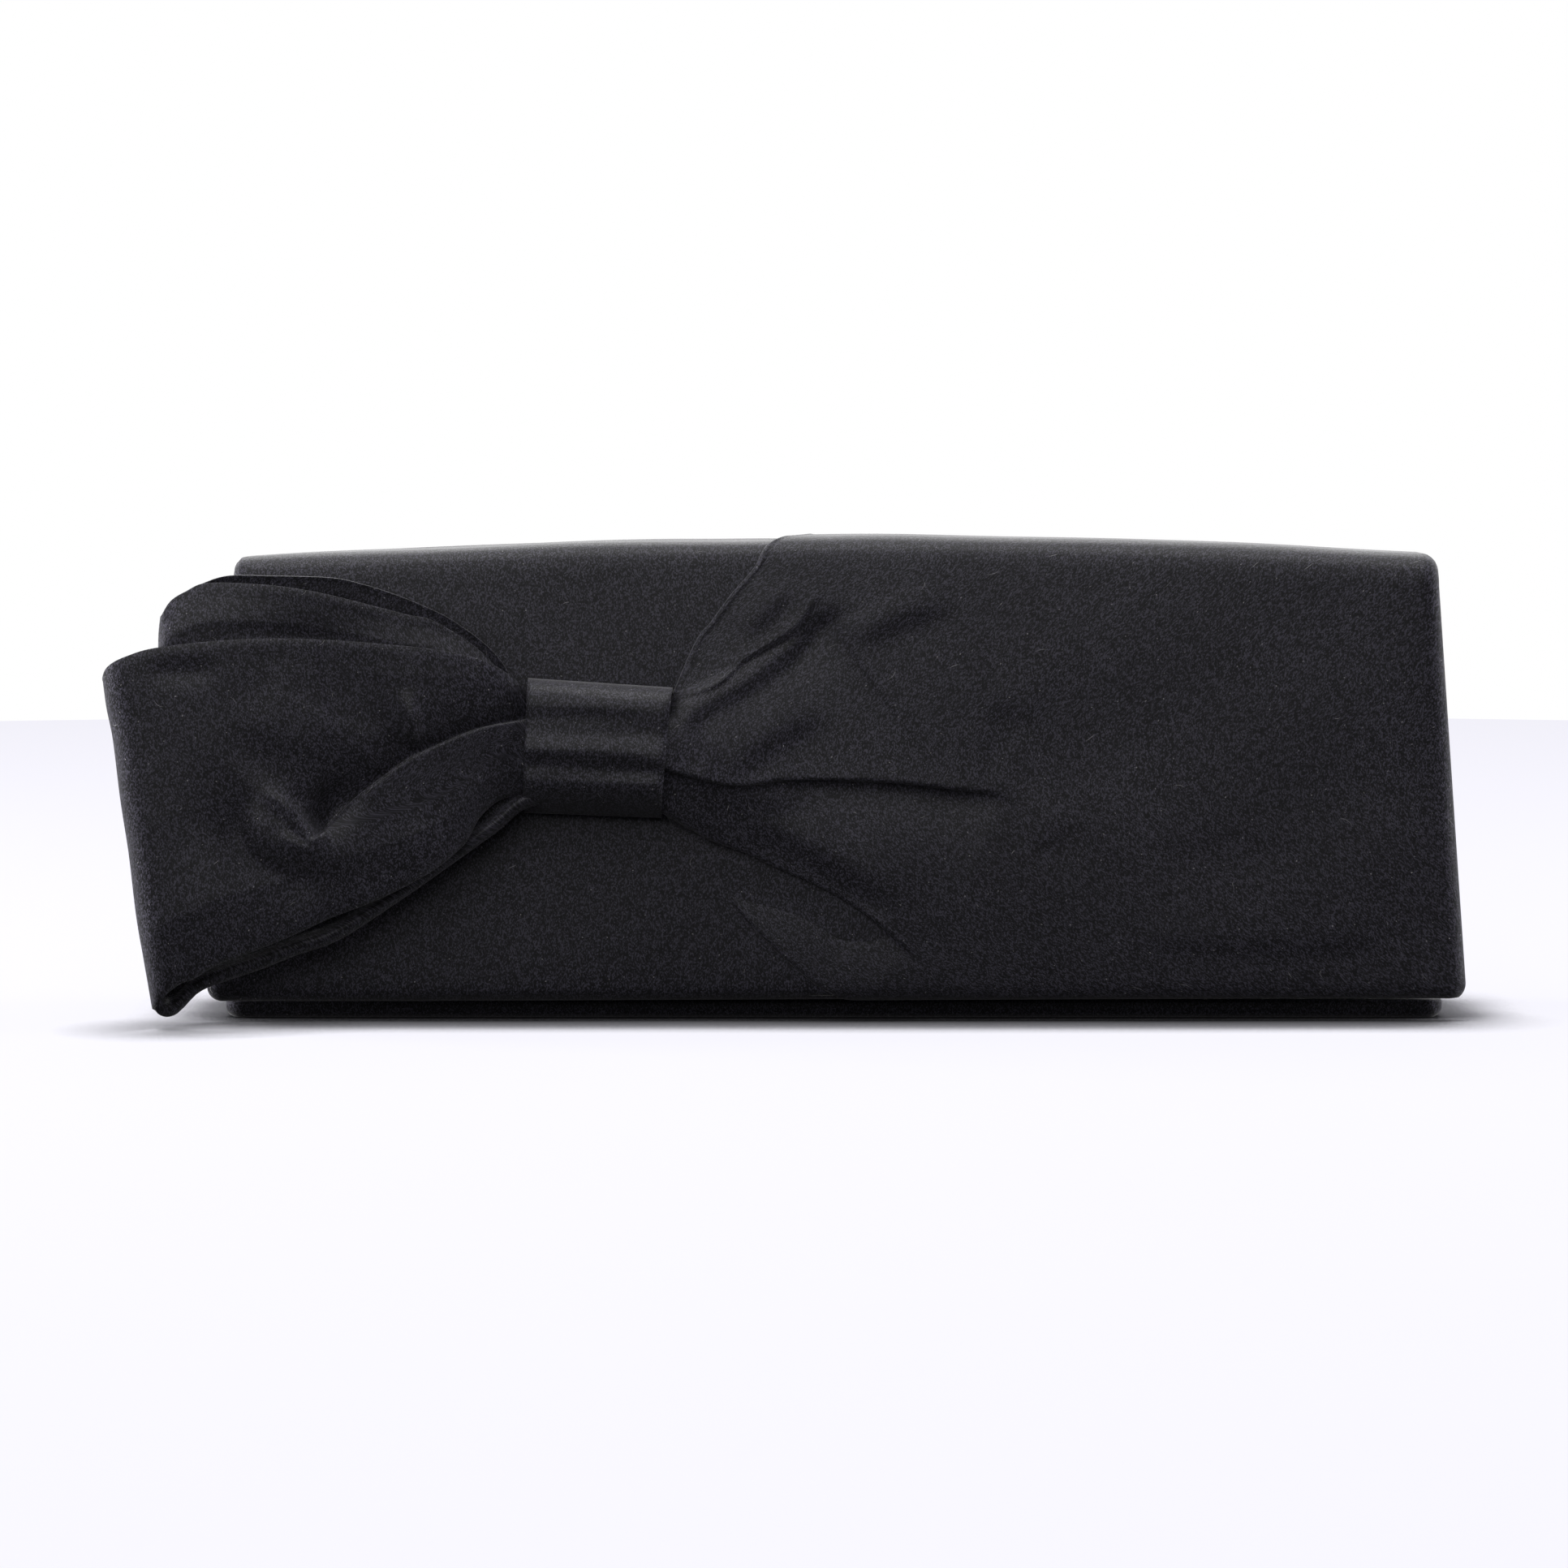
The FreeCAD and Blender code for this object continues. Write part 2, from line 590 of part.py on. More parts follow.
def buildSash():
    """Doubled satin over the right of the flap, drawn together into the knot."""
    ends = f"({flapHeight} - {crownSag(flapTopHalf)})"
    corners = [
        (knotRight, f"{knotLow} + Sizes.knotBand"),
        (sashHemX, "0"),
        (hemHalf, "0"),
        (flapTopHalf, ends, crownRadius),
        (sashTopX, f"{flapHeight} - {crownSag(sashTopX)}", "-Sizes.sashSweep"),
        (knotRight, f"{knotHigh} - Sizes.knotBand"),
    ]
    body = sheetPanel(flapBody("sash_panel"), corners, "(-Sizes.sash)", "Sizes.sash", 1)
    inside = number(sashHemX) + number("Sizes.boardCorner")
    rounding = "Sizes.boardCorner + Sizes.coverRim"
    fillet(body, rounding, lambda edge: isThrough(edge) and edge.BoundBox.XMin > inside)

    def gather(x, y, spread):
        z0, z1 = f"({knotZ} - {spread})", f"({knotZ} + {spread})"
        section = [(f"-{y}", z0), ("-Sizes.sash / 2", z0), ("-Sizes.sash / 2", z1), (f"-{y}", z1)]
        return addLoop(newSketch(body, "YZ_Plane", x), section)

    loft = body.newObject("PartDesign::AdditiveLoft", "Gathers")
    rootSpread = "(Sizes.knotHeight / 2 - Sizes.knotBand)"
    loft.Profile = gather(knotRight, f"({coreDepth} + Sizes.knotBand)", rootSpread)
    loft.Sections = [gather(f"{knotRight} + Sizes.gatherReach", "Sizes.sash", "Sizes.gatherSpread")]
    loft.Ruled = True
    doc.recompute()


def buildKnot():
    """The band round the middle of the bow, and the drawn-up satin inside it."""
    y0, y1 = "(-Sizes.seamGap - Sizes.knotDepth)", "(-Sizes.seamGap)"
    outside = roundedRectangle(y0, knotLow, y1, knotHigh, "Sizes.knotRound")
    band = "Sizes.knotBand"
    corners = f"({y0} + {band})", f"({knotLow} + {band})", f"({y1} - {band})", f"({knotHigh} - {band})"
    inside = roundedRectangle(*corners, f"(Sizes.knotRound - {band})")
    for label, loops in (("bow_knot", (outside, inside)), ("bow_core", (inside,))):
        body = flapBody(label)
        section = newSketch(body, "YZ_Plane", knotLeft)
        for loop in loops:
            addLoop(section, loop)
        pad(body, section, "Sizes.knotWidth")


def buildLoop(label, reach, radius, rootY, endY, silhouette):
    """A satin loop: a drop-shaped band seen from above, trimmed to its silhouette seen from the front."""
    body = flapBody(label)
    end = f"({knotLeft} - {reach} + {radius})"
    cloth = "Sizes.bowCloth"

    def turn(bend):
        """Two quarter turns round the far end of the loop, from its rear to its front."""
        rear, front = (end, f"{endY} + {bend}", bend), (end, f"{endY} - ({bend})")
        return [rear, (f"{end} - ({bend})", endY, bend), front]

    drop = [(knotLeft, f"{rootY} - {loopThickness}"), (knotLeft, rootY)] + turn(radius)
    crotch = (f"{knotLeft} - Sizes.loopRoot", f"{rootY} - {loopThickness} / 2")
    hollow = [crotch] + turn(f"{radius} - {cloth}")
    plan = newSketch(body, "XY_Plane", "-Sizes.flapDrop")
    addLoop(plan, drop)
    addLoop(plan, hollow)
    pad(body, plan, "3 * Sizes.flapDrop")
    farOut = "(2 * Sizes.bodyLength)"
    trim = newSketch(body, "XZ_Plane")
    addLoop(trim, trapezoid(farOut, farOut, "3 * Sizes.flapDrop", "-2 * Sizes.flapDrop"))
    addLoop(trim, silhouette)
    pocket(body, trim)
    return body


def buildBow():
    low, high = f"({knotLow} + Sizes.knotBand)", f"({knotHigh} - Sizes.knotBand)"
    rearRoot = "(-Sizes.seamGap - Sizes.knotBand)"
    frontRoot = f"({rearRoot} - {loopThickness} - Sizes.loopGap)"
    rearEnd = "(-Sizes.loopGap - Sizes.rearLoopRadius)"
    frontEnd = f"({rearEnd} - Sizes.rearLoopRadius - 2 * Sizes.loopGap - Sizes.frontLoopRadius)"
    tip = f"({knotLeft} - Sizes.frontLoopReach)"
    foot = f"({tip} + Sizes.frontLoopSlant)"
    front = [
        (knotX, low),
        (knotX, high),
        (knotLeft, high, "Sizes.frontLoopCrown"),
        (tip, f"{knotZ} + Sizes.frontLoopRise"),
        (foot, "-Sizes.frontLoopFoot"),
        (f"{foot} + Sizes.frontLoopToe", "-Sizes.frontLoopFoot", "Sizes.frontLoopBelly"),
        (knotLeft, low),
    ]
    buildLoop("bow_front_loop", "Sizes.frontLoopReach", "Sizes.frontLoopRadius", frontRoot, frontEnd, front)
    rearTip = f"({knotLeft} - Sizes.rearLoopReach)"
    rear = [
        (knotX, low),
        (knotX, high),
        (knotLeft, high, "Sizes.rearLoopCrown"),
        (rearTip, f"{knotZ} + Sizes.rearLoopRise"),
        (rearTip, f"{knotZ} - Sizes.rearLoopFall"),
    ]
    buildLoop("bow_rear_loop", "Sizes.rearLoopReach", "Sizes.rearLoopRadius", rearRoot, rearEnd, rear)


def checked():
    """Every sub-part, once nothing in the document has failed."""
    doc.recompute()
    for item in doc.Objects:
        if any(word in item.State for word in ("Invalid", "Error")):
            raise RuntimeError(f"{item.Name} ({item.Label}) failed: {item.State}")
    bodies = [item for item in doc.Objects if item.TypeId == "PartDesign::Body"]
    for body in bodies:
        shape = body.Shape
        if shape.isNull() or not shape.isValid() or len(shape.Solids) != 1:
            raise RuntimeError(f"{body.Label}: not one valid solid")
    return bodies


buildBase()
frontWall = buildWall("front", frontWallBody, trapezoid, frontHeight, 1)
buildWall("back", backWallBody, crowned, backHeight, -1)
buildPocket()
buildGussets()
buildSpine()
flapBoard, flapLining = buildFlap()
buildSnap(frontWall, flapBoard, flapLining)
buildSash()
buildKnot()
buildBow()

os.makedirs("parts", exist_ok=True)
for body in checked():
    body.Shape.exportStep(f"parts/{body.Label}.step")
    box = body.Shape.BoundBox
    print(
        f"{body.Label}: {body.Shape.Volume:.0f} mm3, x {box.XMin:.1f} to {box.XMax:.1f},"
        f" y {box.YMin:.1f} to {box.YMax:.1f}, z {box.ZMin:.1f} to {box.ZMax:.1f}"
    )
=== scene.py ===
import math

import bmesh
import bpy
import numpy as np
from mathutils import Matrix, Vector


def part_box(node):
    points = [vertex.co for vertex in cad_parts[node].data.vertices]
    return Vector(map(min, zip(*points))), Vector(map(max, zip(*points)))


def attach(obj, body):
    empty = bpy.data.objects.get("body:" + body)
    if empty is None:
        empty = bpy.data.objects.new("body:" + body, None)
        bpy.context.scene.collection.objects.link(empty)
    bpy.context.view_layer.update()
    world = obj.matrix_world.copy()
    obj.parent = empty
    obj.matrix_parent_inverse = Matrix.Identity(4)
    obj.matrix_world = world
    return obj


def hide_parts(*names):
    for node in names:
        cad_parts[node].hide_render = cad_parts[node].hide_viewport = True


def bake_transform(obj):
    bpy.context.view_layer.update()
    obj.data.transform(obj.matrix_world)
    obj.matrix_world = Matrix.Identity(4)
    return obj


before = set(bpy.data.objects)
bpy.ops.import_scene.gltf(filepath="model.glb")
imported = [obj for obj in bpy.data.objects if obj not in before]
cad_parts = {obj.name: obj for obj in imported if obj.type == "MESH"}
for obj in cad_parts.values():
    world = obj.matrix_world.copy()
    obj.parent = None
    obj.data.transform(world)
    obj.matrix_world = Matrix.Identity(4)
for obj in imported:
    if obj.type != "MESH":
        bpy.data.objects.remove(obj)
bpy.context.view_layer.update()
mm = 0.001
print("frame loaded")


def boxOf(node):
    low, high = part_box(node)
    return np.array(low) / mm, np.array(high) / mm


# ---- the shape that every cloth follows, in millimetres, read from the frame ----

cut = {
    "leanAngle": 6.3,  # degrees that each wall leans in
    "satin": 0.5,
    "wadding": 1.6,
    "board": 1.4,
    "rim": 0.8,  # satin turned over the edge of a board
    "foldRadius": 6.0,
    "crownRise": 4.0,
}
lean = math.radians(cut["leanAngle"])
sinLean, cosLean = math.sin(lean), math.cos(lean)
waddingLow, waddingHigh = boxOf("flap_wadding")
padLow, padHigh = boxOf("spine_pad")
hemY = waddingLow[1] - cut["rim"] * sinLean - cut["satin"] * cosLean
hemZ = waddingLow[2] - cut["rim"] * cosLean + (cut["satin"] + cut["wadding"]) * sinLean
hemHalf = waddingHigh[0] + cut["rim"]
foldHalf = padHigh[0] + cut["rim"]
foldRadius = cut["foldRadius"]
foldZ = padHigh[2] + cut["satin"] - foldRadius
foldFrontY = padLow[1] - cut["satin"]
foldBackY = padHigh[1] + cut["satin"]
crownRadius = (foldHalf ** 2 + cut["crownRise"] ** 2) / (2 * cut["crownRise"])
foldAngle = math.pi / 2 - lean
turn = foldRadius * foldAngle  # cloth round one edge of the top
topFlat = foldBackY - foldFrontY - 2 * foldRadius
baseLow, baseHigh = boxOf("base_cover")
boardLow, boardHigh = boxOf("front_board")
wallFootZ = boardLow[2] - cut["rim"] * cosLean + (cut["satin"] + cut["board"]) * sinLean
wallHalf = boardHigh[0] + cut["rim"]


def crownSag(x):
    return crownRadius - np.sqrt(crownRadius ** 2 - np.clip(x, -140, 140) ** 2)


def faceLength(x):  # up the front, from the hem to where the fold begins
    return (foldZ - crownSag(x) + foldRadius * sinLean - hemZ) / cosLean


def backLength(x):  # down the back, from the end of the fold to the foot of the wall
    return (foldZ - crownSag(x) + foldRadius * sinLean - wallFootZ) / cosLean


def stripLength(x):
    return faceLength(x) + 2 * turn + topFlat + backLength(x)


def strip(x, t, d):
    # t runs from the hem up the front, over the top and down the back; d stands out from the cloth
    x, t, d = np.broadcast_arrays(x, t, d)
    face, sag = faceLength(x), crownSag(x)
    up = np.minimum(t, face)
    front = np.clip((t - face) / foldRadius, 0, foldAngle)
    flat = np.clip(t - face - turn, 0, topFlat)
    rear = np.clip((t - face - turn - topFlat) / foldRadius, 0, foldAngle)
    down = np.maximum(t - face - 2 * turn - topFlat, 0)
    frontAngle = lean + front
    ny = np.where(rear > 0, np.sin(rear), -np.cos(frontAngle))
    nz = np.where(rear > 0, np.cos(rear), np.sin(frontAngle))
    missFront = hemY + face * sinLean - (foldFrontY + foldRadius * (1 - cosLean))
    missBack = sag * sinLean / cosLean
    y = np.where(
        t < face,
        hemY + up * sinLean,
        np.where(rear > 0, foldBackY - foldRadius, foldFrontY + foldRadius + flat) + foldRadius * ny
        + missFront * (1 - front / foldAngle) * (rear <= 0),
    )
    z = np.where(t < face, hemZ + up * cosLean, foldZ - sag + foldRadius * nz)
    y = y + down * sinLean + missBack * smooth(down / 12)
    z = z - down * cosLean
    return np.stack([x, y + d * ny, z + d * nz], axis=-1)


def smooth(v):
    v = np.clip(v, 0, 1)
    return v * v * (3 - 2 * v)


def fadeFrom(edge, reach):
    return np.exp(-np.maximum(edge, 0) / reach)


# ---- cloth from a grid ----

def edgeProfile(radius, thickness, tuck, corner, proud=0.0):
    # inset and depth of a cloth that is wrapped round an edge, from its hidden end to the flat of the face
    inner = min(0.7, thickness - radius)
    hidden = (inner, inner - thickness, inner + proud, (-90, -60, -30, 0))
    rounded = (radius, -radius, radius + proud, (0, 18, 36, 54, 72, 90))
    points = [(tuck, -thickness - proud)]
    for inset, depth, reach, angles in (hidden, rounded):
        for angle in np.radians(angles):
            points.append((inset - reach * math.cos(angle), depth + reach * math.sin(angle)))
    points.append((corner, proud))
    return np.array(points)


def wrapped(columns, rows, profile, topWrap=False, leftWrap=True):
    # across -1 to 1, inset from the side, inset from the foot or top, depth, and share of the way up
    n = len(profile) - 1
    inset, depth = profile.T
    corner = inset[-1]
    j, i = np.mgrid[0:rows + 1, 0:columns + 1]
    start, last = (n if leftWrap else 0), (n if topWrap else 0)
    side = np.minimum(np.minimum(i if leftWrap else n, columns - i), n)
    foot = np.minimum(np.minimum(j, rows - j if topWrap else n), n)
    ring = np.minimum(side, foot)
    eighth = math.pi / 4
    fromFoot = eighth * (n - foot) / np.maximum(n - side, 1e-6)
    fromSide = eighth * (n - side) / np.maximum(n - foot, 1e-6)
    angle = np.where(side <= foot, fromFoot, math.pi / 2 - fromSide)
    angle = np.where((side == n) & (foot == n), 0, angle)
    reach = corner - inset[ring]
    return {
        "across": np.clip((i - start) / (columns - n - start) * 2 - 1, -1, 1),
        "side": corner - reach * np.cos(angle) * (side < n),
        "foot": corner - reach * np.sin(angle) * (foot < n),
        "depth": depth[ring],
        "share": np.clip((j - n) / (rows - n - last), 0, 1),
        "atFoot": (foot < n) & (j < rows / 2),
        "atTop": (foot < n) & (j >= rows / 2) & topWrap,
        "corner": corner,
    }


def upFrom(w, length, plan=None):
    # length along the cloth at each grid point; plan spaces the rows
    share = w["share"] if plan is None else np.interp(w["share"], *plan)
    low, high = w["corner"], length - (w["corner"] if w["atTop"].any() else 0)
    t = low + share * (high - low)
    return np.where(w["atFoot"], w["foot"], np.where(w["atTop"], length - w["foot"], t))


def grid(columns, rows, low=0):
    # u runs across from -1 to 1, and v up from low to 1
    return np.meshgrid(np.linspace(-1, 1, columns + 1), np.linspace(low, 1, rows + 1))


def cloth(name, points, flip=False, closed=False):
    rows, columns = points.shape[0] - 1, points.shape[1] - 1
    bm = bmesh.new()
    bmesh.ops.create_grid(bm, x_segments=columns, y_segments=rows, size=1)
    mesh = bpy.data.meshes.new(name)
    bm.to_mesh(mesh)
    bm.free()
    co = np.zeros(len(mesh.vertices) * 3)
    mesh.vertices.foreach_get("co", co)
    co = co.reshape(-1, 3)
    i = np.rint((co[:, 0] - co[:, 0].min()) / np.ptp(co[:, 0]) * columns).astype(int)
    j = np.rint((co[:, 1] - co[:, 1].min()) / np.ptp(co[:, 1]) * rows).astype(int)
    mesh.vertices.foreach_set("co", (points[j, i] * mm).ravel())
    # the UV map holds millimetres along the cloth
    acrossSteps, upSteps = (np.linalg.norm(np.diff(points, axis=k), axis=2) for k in (1, 0))
    alongU = np.cumsum(np.pad(acrossSteps, ((0, 0), (1, 0))), axis=1)
    alongV = np.cumsum(np.pad(upSteps, ((1, 0), (0, 0))), axis=0)
    alongU = alongU - alongU[:, columns // 2][:, None]
    corner = np.zeros(len(mesh.loops), dtype=int)
    mesh.loops.foreach_get("vertex_index", corner)
    uv = np.stack([alongU[j, i], alongV[j, i]], axis=1)[corner]
    mesh.uv_layers.new(name="cloth").data.foreach_set("uv", uv.ravel())
    if flip:
        mesh.flip_normals()
    if closed:
        bm = bmesh.new()
        bm.from_mesh(mesh)
        bmesh.ops.remove_doubles(bm, verts=bm.verts, dist=1e-6)
        bm.to_mesh(mesh)
        bm.free()
    mesh.shade_smooth()
    piece = bpy.data.objects.new(name, mesh)
    bpy.context.scene.collection.objects.link(piece)
    return piece


def dress(piece, look):
    material, slot = look
    piece.data.materials.append(material)


def sewn(name, points, thickness, look, flip=False, closed=False, roundEdge=False):
    # a sheet of cloth with its real thickness
    piece = cloth(name, points, flip, closed)
    wall = piece.modifiers.new("thickness", "SOLIDIFY")
    wall.thickness = thickness * mm
    wall.offset = -1
    if roundEdge:
        edge = piece.modifiers.new("edge", "BEVEL")
        edge.width = thickness * 0.42 * mm
        edge.segments = 2
        edge.limit_method = "ANGLE"
        edge.angle_limit = math.radians(55)
    dress(piece, look)
    return piece


def cutHole(piece, centre, radius):
    bm = bmesh.new()
    bm.from_mesh(piece.data)
    middle = Vector(centre)
    near = [f for f in bm.faces if (f.calc_center_median() - middle).length < radius * mm]
    bmesh.ops.delete(bm, geom=near, context="FACES")
    bm.to_mesh(piece.data)
    bm.free()


# ---- folds ----

def smoothPath(points, samples=48):
    p = np.array([points[0]] + list(points) + [points[-1]], float)
    p[0], p[-1] = 2 * p[1] - p[2], 2 * p[-2] - p[-3]
    u = np.linspace(0, len(points) - 1, samples)
    k = np.minimum(u.astype(int), len(points) - 2)
    f = (u - k)[:, None]
    a, b, c, d = p[k], p[k + 1], p[k + 2], p[k + 3]
    bent, twisted = 2 * a - 5 * b + 4 * c - d, 3 * b - a - 3 * c + d
    return 0.5 * (2 * b + (c - a) * f + bent * f ** 2 + twisted * f ** 3)


def nearest(points, x, h):
    # signed distance to a path, left of it positive, how far along it, and the path's left direction
    path = smoothPath(points)
    best = np.full(x.shape, 1e9)
    side, along = np.zeros(x.shape), np.zeros(x.shape)
    leftX, leftH = np.zeros(x.shape), np.zeros(x.shape)
    steps = np.linalg.norm(np.diff(path, axis=0), axis=1)
    total, done = steps.sum(), 0
    for a, b, length in zip(path[:-1], path[1:], steps):
        e = (b - a) / length
        w = np.clip((x - a[0]) * e[0] + (h - a[1]) * e[1], 0, length)
        away = (x - a[0] - w * e[0]) ** 2 + (h - a[1] - w * e[1]) ** 2
        near = away < best
        best = np.where(near, away, best)
        side = np.where(near, np.sign(e[0] * (h - a[1]) - e[1] * (x - a[0])), side)
        along = np.where(near, (done + w) / total, along)
        leftX, leftH = np.where(near, -e[1], leftX), np.where(near, e[0], leftH)
        done += length
    return side * np.sqrt(best), along, leftX, leftH


def crease(x, h, d, fold):
    # an overlapping fold: the cloth on the left of the path lies over the cloth on its right
    n, s, leftX, leftH = nearest(fold["path"], x, h)
    start, end = fold["fade"]
    fade = smooth(s / max(start, 1e-6)) * smooth((1 - s) / max(end, 1e-6))
    over = 0.5 * (1 + np.tanh(n / fold["width"]))
    above, below = np.maximum(n, 0), np.maximum(-n, 0)
    under = np.exp(-below / fold["below"]) * (1 - fold.get("hollow", 0) * np.exp(-below / 2.5))
    lift = over * fold["lift"] * np.exp(-above / fold["above"]) - (1 - over) * fold["dip"] * under
    pull = fold.get("overlap", 0) * ((1 - over) * np.exp(-below / 5) - over * np.exp(-above / 5))
    return x + fade * pull * leftX, h + fade * pull * leftH, d + fade * lift


def step(x, h, path, height, width, fade):
    # the cloth on the left of the path stands a little over the cloth on its right, without an edge
    half, reach = height / 2, 10
    fold = {"path": path, "lift": half, "dip": half, "above": reach, "below": reach}
    fold.update(width=width, fade=fade)
    return crease(x, h, np.zeros_like(x), fold)[2]


def swell(x, h, ridge):
    # a soft ridge, or a valley where its height is negative
    n, s, _, _ = nearest(ridge["path"], x, h)
    start, end = ridge["fade"]
    return ridge["height"] * np.exp(-(n / ridge["width"]) ** 2) * smooth(s / start) * smooth((1 - s) / end)


def mound(x, h, centre, reach, height, tilt):
    a = math.radians(tilt)
    u = ((x - centre[0]) * math.cos(a) + (h - centre[1]) * math.sin(a)) / reach[0]
    v = ((h - centre[1]) * math.cos(a) - (x - centre[0]) * math.sin(a)) / reach[1]
    return height * np.exp(-u * u - v * v)


def ripple(x, h, height, length, seed):
    # slow unevenness of padded cloth
    rng = np.random.default_rng(seed)
    total = np.zeros(np.broadcast(x, h).shape)
    for _ in range(7):
        angle, phase, stretch = rng.uniform(0, math.pi), rng.uniform(0, 2 * math.pi), rng.uniform(0.7, 1.6)
        along = x * math.cos(angle) + h * math.sin(angle)
        total = total + np.sin(along * 2 * math.pi / (length * stretch) + phase)
    return height * total / 4


print("tools ready")


# ---- finishes ----

def makeGroup(name, numbers, outputs):
    # a vector in millimetres and some numbers go in, and numbers come out
    group = bpy.data.node_groups.new(name, "ShaderNodeTree")
    group.interface.new_socket(name="Vector", in_out="INPUT", socket_type="NodeSocketVector")
    for label, value in numbers.items():
        socket = group.interface.new_socket(name=label, in_out="INPUT", socket_type="NodeSocketFloat")
        socket.default_value = value
    for label in outputs:
        group.interface.new_socket(name=label, in_out="OUTPUT", socket_type="NodeSocketFloat")
    return group, group.nodes.new("NodeGroupInput").outputs, group.nodes.new("NodeGroupOutput").inputs


def addNode(tree, kind, links=None, **settings):
    # links: input name or number -> a socket or a plain value
    node = tree.nodes.new(kind)
    for key, value in settings.items():
        setattr(node, key, value)
    for key, value in (links or {}).items():
        if isinstance(value, bpy.types.NodeSocket):
            tree.links.new(value, node.inputs[key])
        else:
            node.inputs[key].default_value = value
    return node


def placed(tree, group, **values):
    return addNode(tree, "ShaderNodeGroup", values, node_tree=group).outputs


def mathNode(tree, operation, a, b=0.0, clamp=False):
    return addNode(tree, "ShaderNodeMath", {0: a, 1: b}, operation=operation, use_clamp=clamp).outputs[0]


def plus(tree, a, b):
    return mathNode(tree, "ADD", a, b)


def minus(tree, a, b, clamp=False):
    return mathNode(tree, "SUBTRACT", a, b, clamp)


def times(tree, a, b):
    return mathNode(tree, "MULTIPLY", a, b)


def ratio(tree, a, b):
    return mathNode(tree, "DIVIDE", a, b)


def mapped(tree, value, low, high, newLow, newHigh, kind="LINEAR"):
    links = {"Value": value, "From Min": low, "From Max": high, "To Min": newLow, "To Max": newHigh}
    return addNode(tree, "ShaderNodeMapRange", links, interpolation_type=kind).outputs[0]


def mixColours(tree, factor, a, b):
    return addNode(tree, "ShaderNodeMix", {0: factor, 6: a, 7: b}, data_type="RGBA").outputs[2]


def scaled(tree, vector, factors):
    return addNode(tree, "ShaderNodeVectorMath", {0: vector, 1: factors}, operation="MULTIPLY").outputs[0]


def noise(tree, vector, scale, detail, **more):
    links = {"Vector": vector, "Scale": scale, "Detail": detail, **more}
    return addNode(tree, "ShaderNodeTexNoise", links).outputs[0]


def buildWeave():
    # satin: long floats along the cloth and a fine glitter of threads
    group, given, result = makeGroup("weave", {"Floats": 1.1, "Grain": 2.5}, ["Height", "Glitter"])
    stretched = scaled(group, given["Vector"], (1.0, 0.6, 1.0))
    floats = noise(group, stretched, given["Floats"], 1.0)
    grain = noise(group, given["Vector"], given["Grain"], 2.0)
    links = {"Vector": stretched, "Scale": times(group, given["Grain"], 2.0)}
    threads = addNode(group, "ShaderNodeTexVoronoi", links, voronoi_dimensions="2D")
    sparkle = addNode(group, "ShaderNodeSeparateColor", {"Color": threads.outputs["Color"]}).outputs[0]
    height = plus(group, times(group, floats, 0.55), times(group, grain, 0.45))
    group.links.new(height, result["Height"])
    group.links.new(mapped(group, sparkle, 0.35, 1.0, 0.0, 1.0, "SMOOTHSTEP"), result["Glitter"])
    return group


def buildLint():
    # short stray fibres, one in some of the cells of a grid
    numbers = {"Cell": 8.0, "Length": 0.6, "Width": 0.10, "Share": 0.4}
    group, given, result = makeGroup("lint", numbers, ["Mask"])
    links = {"Vector": given["Vector"], "Scale": ratio(group, 1.0, given["Cell"]), "Randomness": 0.9}
    cells = addNode(group, "ShaderNodeTexVoronoi", links, voronoi_dimensions="2D").outputs
    links = {0: given["Vector"], 1: cells["Position"]}
    offset = addNode(group, "ShaderNodeVectorMath", links, operation="SUBTRACT").outputs[0]
    chance = addNode(group, "ShaderNodeSeparateColor", {"Color": cells["Color"]}).outputs
    fullTurn = 6.283
    links = {"Vector": offset, "Angle": times(group, chance[0], fullTurn)}
    turned = addNode(group, "ShaderNodeVectorRotate", links, rotation_type="Z_AXIS").outputs[0]
    parts = addNode(group, "ShaderNodeSeparateXYZ", {"Vector": turned}).outputs
    along = mathNode(group, "ABSOLUTE", parts[0])
    bend = times(group, mathNode(group, "POWER", along, 2.0), minus(group, chance[2], 0.5))
    aside = mathNode(group, "ABSOLUTE", minus(group, parts[1], bend))
    thin = minus(group, 1.0, ratio(group, aside, given["Width"]), clamp=True)
    length = times(group, given["Length"], plus(group, chance[2], 0.4))
    short = minus(group, 1.6, ratio(group, along, length), clamp=True)
    picked = mathNode(group, "LESS_THAN", chance[1], given["Share"])
    strength = times(group, picked, plus(group, times(group, chance[0], 0.7), 0.3))
    group.links.new(times(group, times(group, thin, short), strength), result["Mask"])
    return group


def buildPatches():
    # slow change over the surface, for colour and gloss
    group, given, result = makeGroup("patches", {"Size": 30.0}, ["Value"])
    slow = noise(group, given["Vector"], ratio(group, 1.0, given["Size"]), 2.0)
    group.links.new(mapped(group, slow, 0.3, 0.7, 0.0, 1.0), result["Value"])
    return group


weaveGroup, lintGroup, patchesGroup = buildWeave(), buildLint(), buildPatches()


def emptyTree(owner):
    owner.use_nodes = True
    owner.node_tree.nodes.clear()
    return owner.node_tree


def newMaterial(name):
    material = bpy.data.materials.new(name)
    return material, emptyTree(material)


def surface(tree, colour, rough, height, bump, more):
    # bump holds its strength and its distance, and more holds the shader's other values
    strength, distance = bump
    bumped = addNode(tree, "ShaderNodeBump", {"Height": height, "Strength": strength, "Distance": distance})
    links = {"Base Color": colour, "Roughness": rough, "Normal": bumped.outputs[0], **more}
    shader = addNode(tree, "ShaderNodeBsdfPrincipled", links)
    addNode(tree, "ShaderNodeOutputMaterial", {"Surface": shader.outputs[0]})


def alongCloth(tree):
    return addNode(tree, "ShaderNodeUVMap", uv_map="cloth").outputs[0]


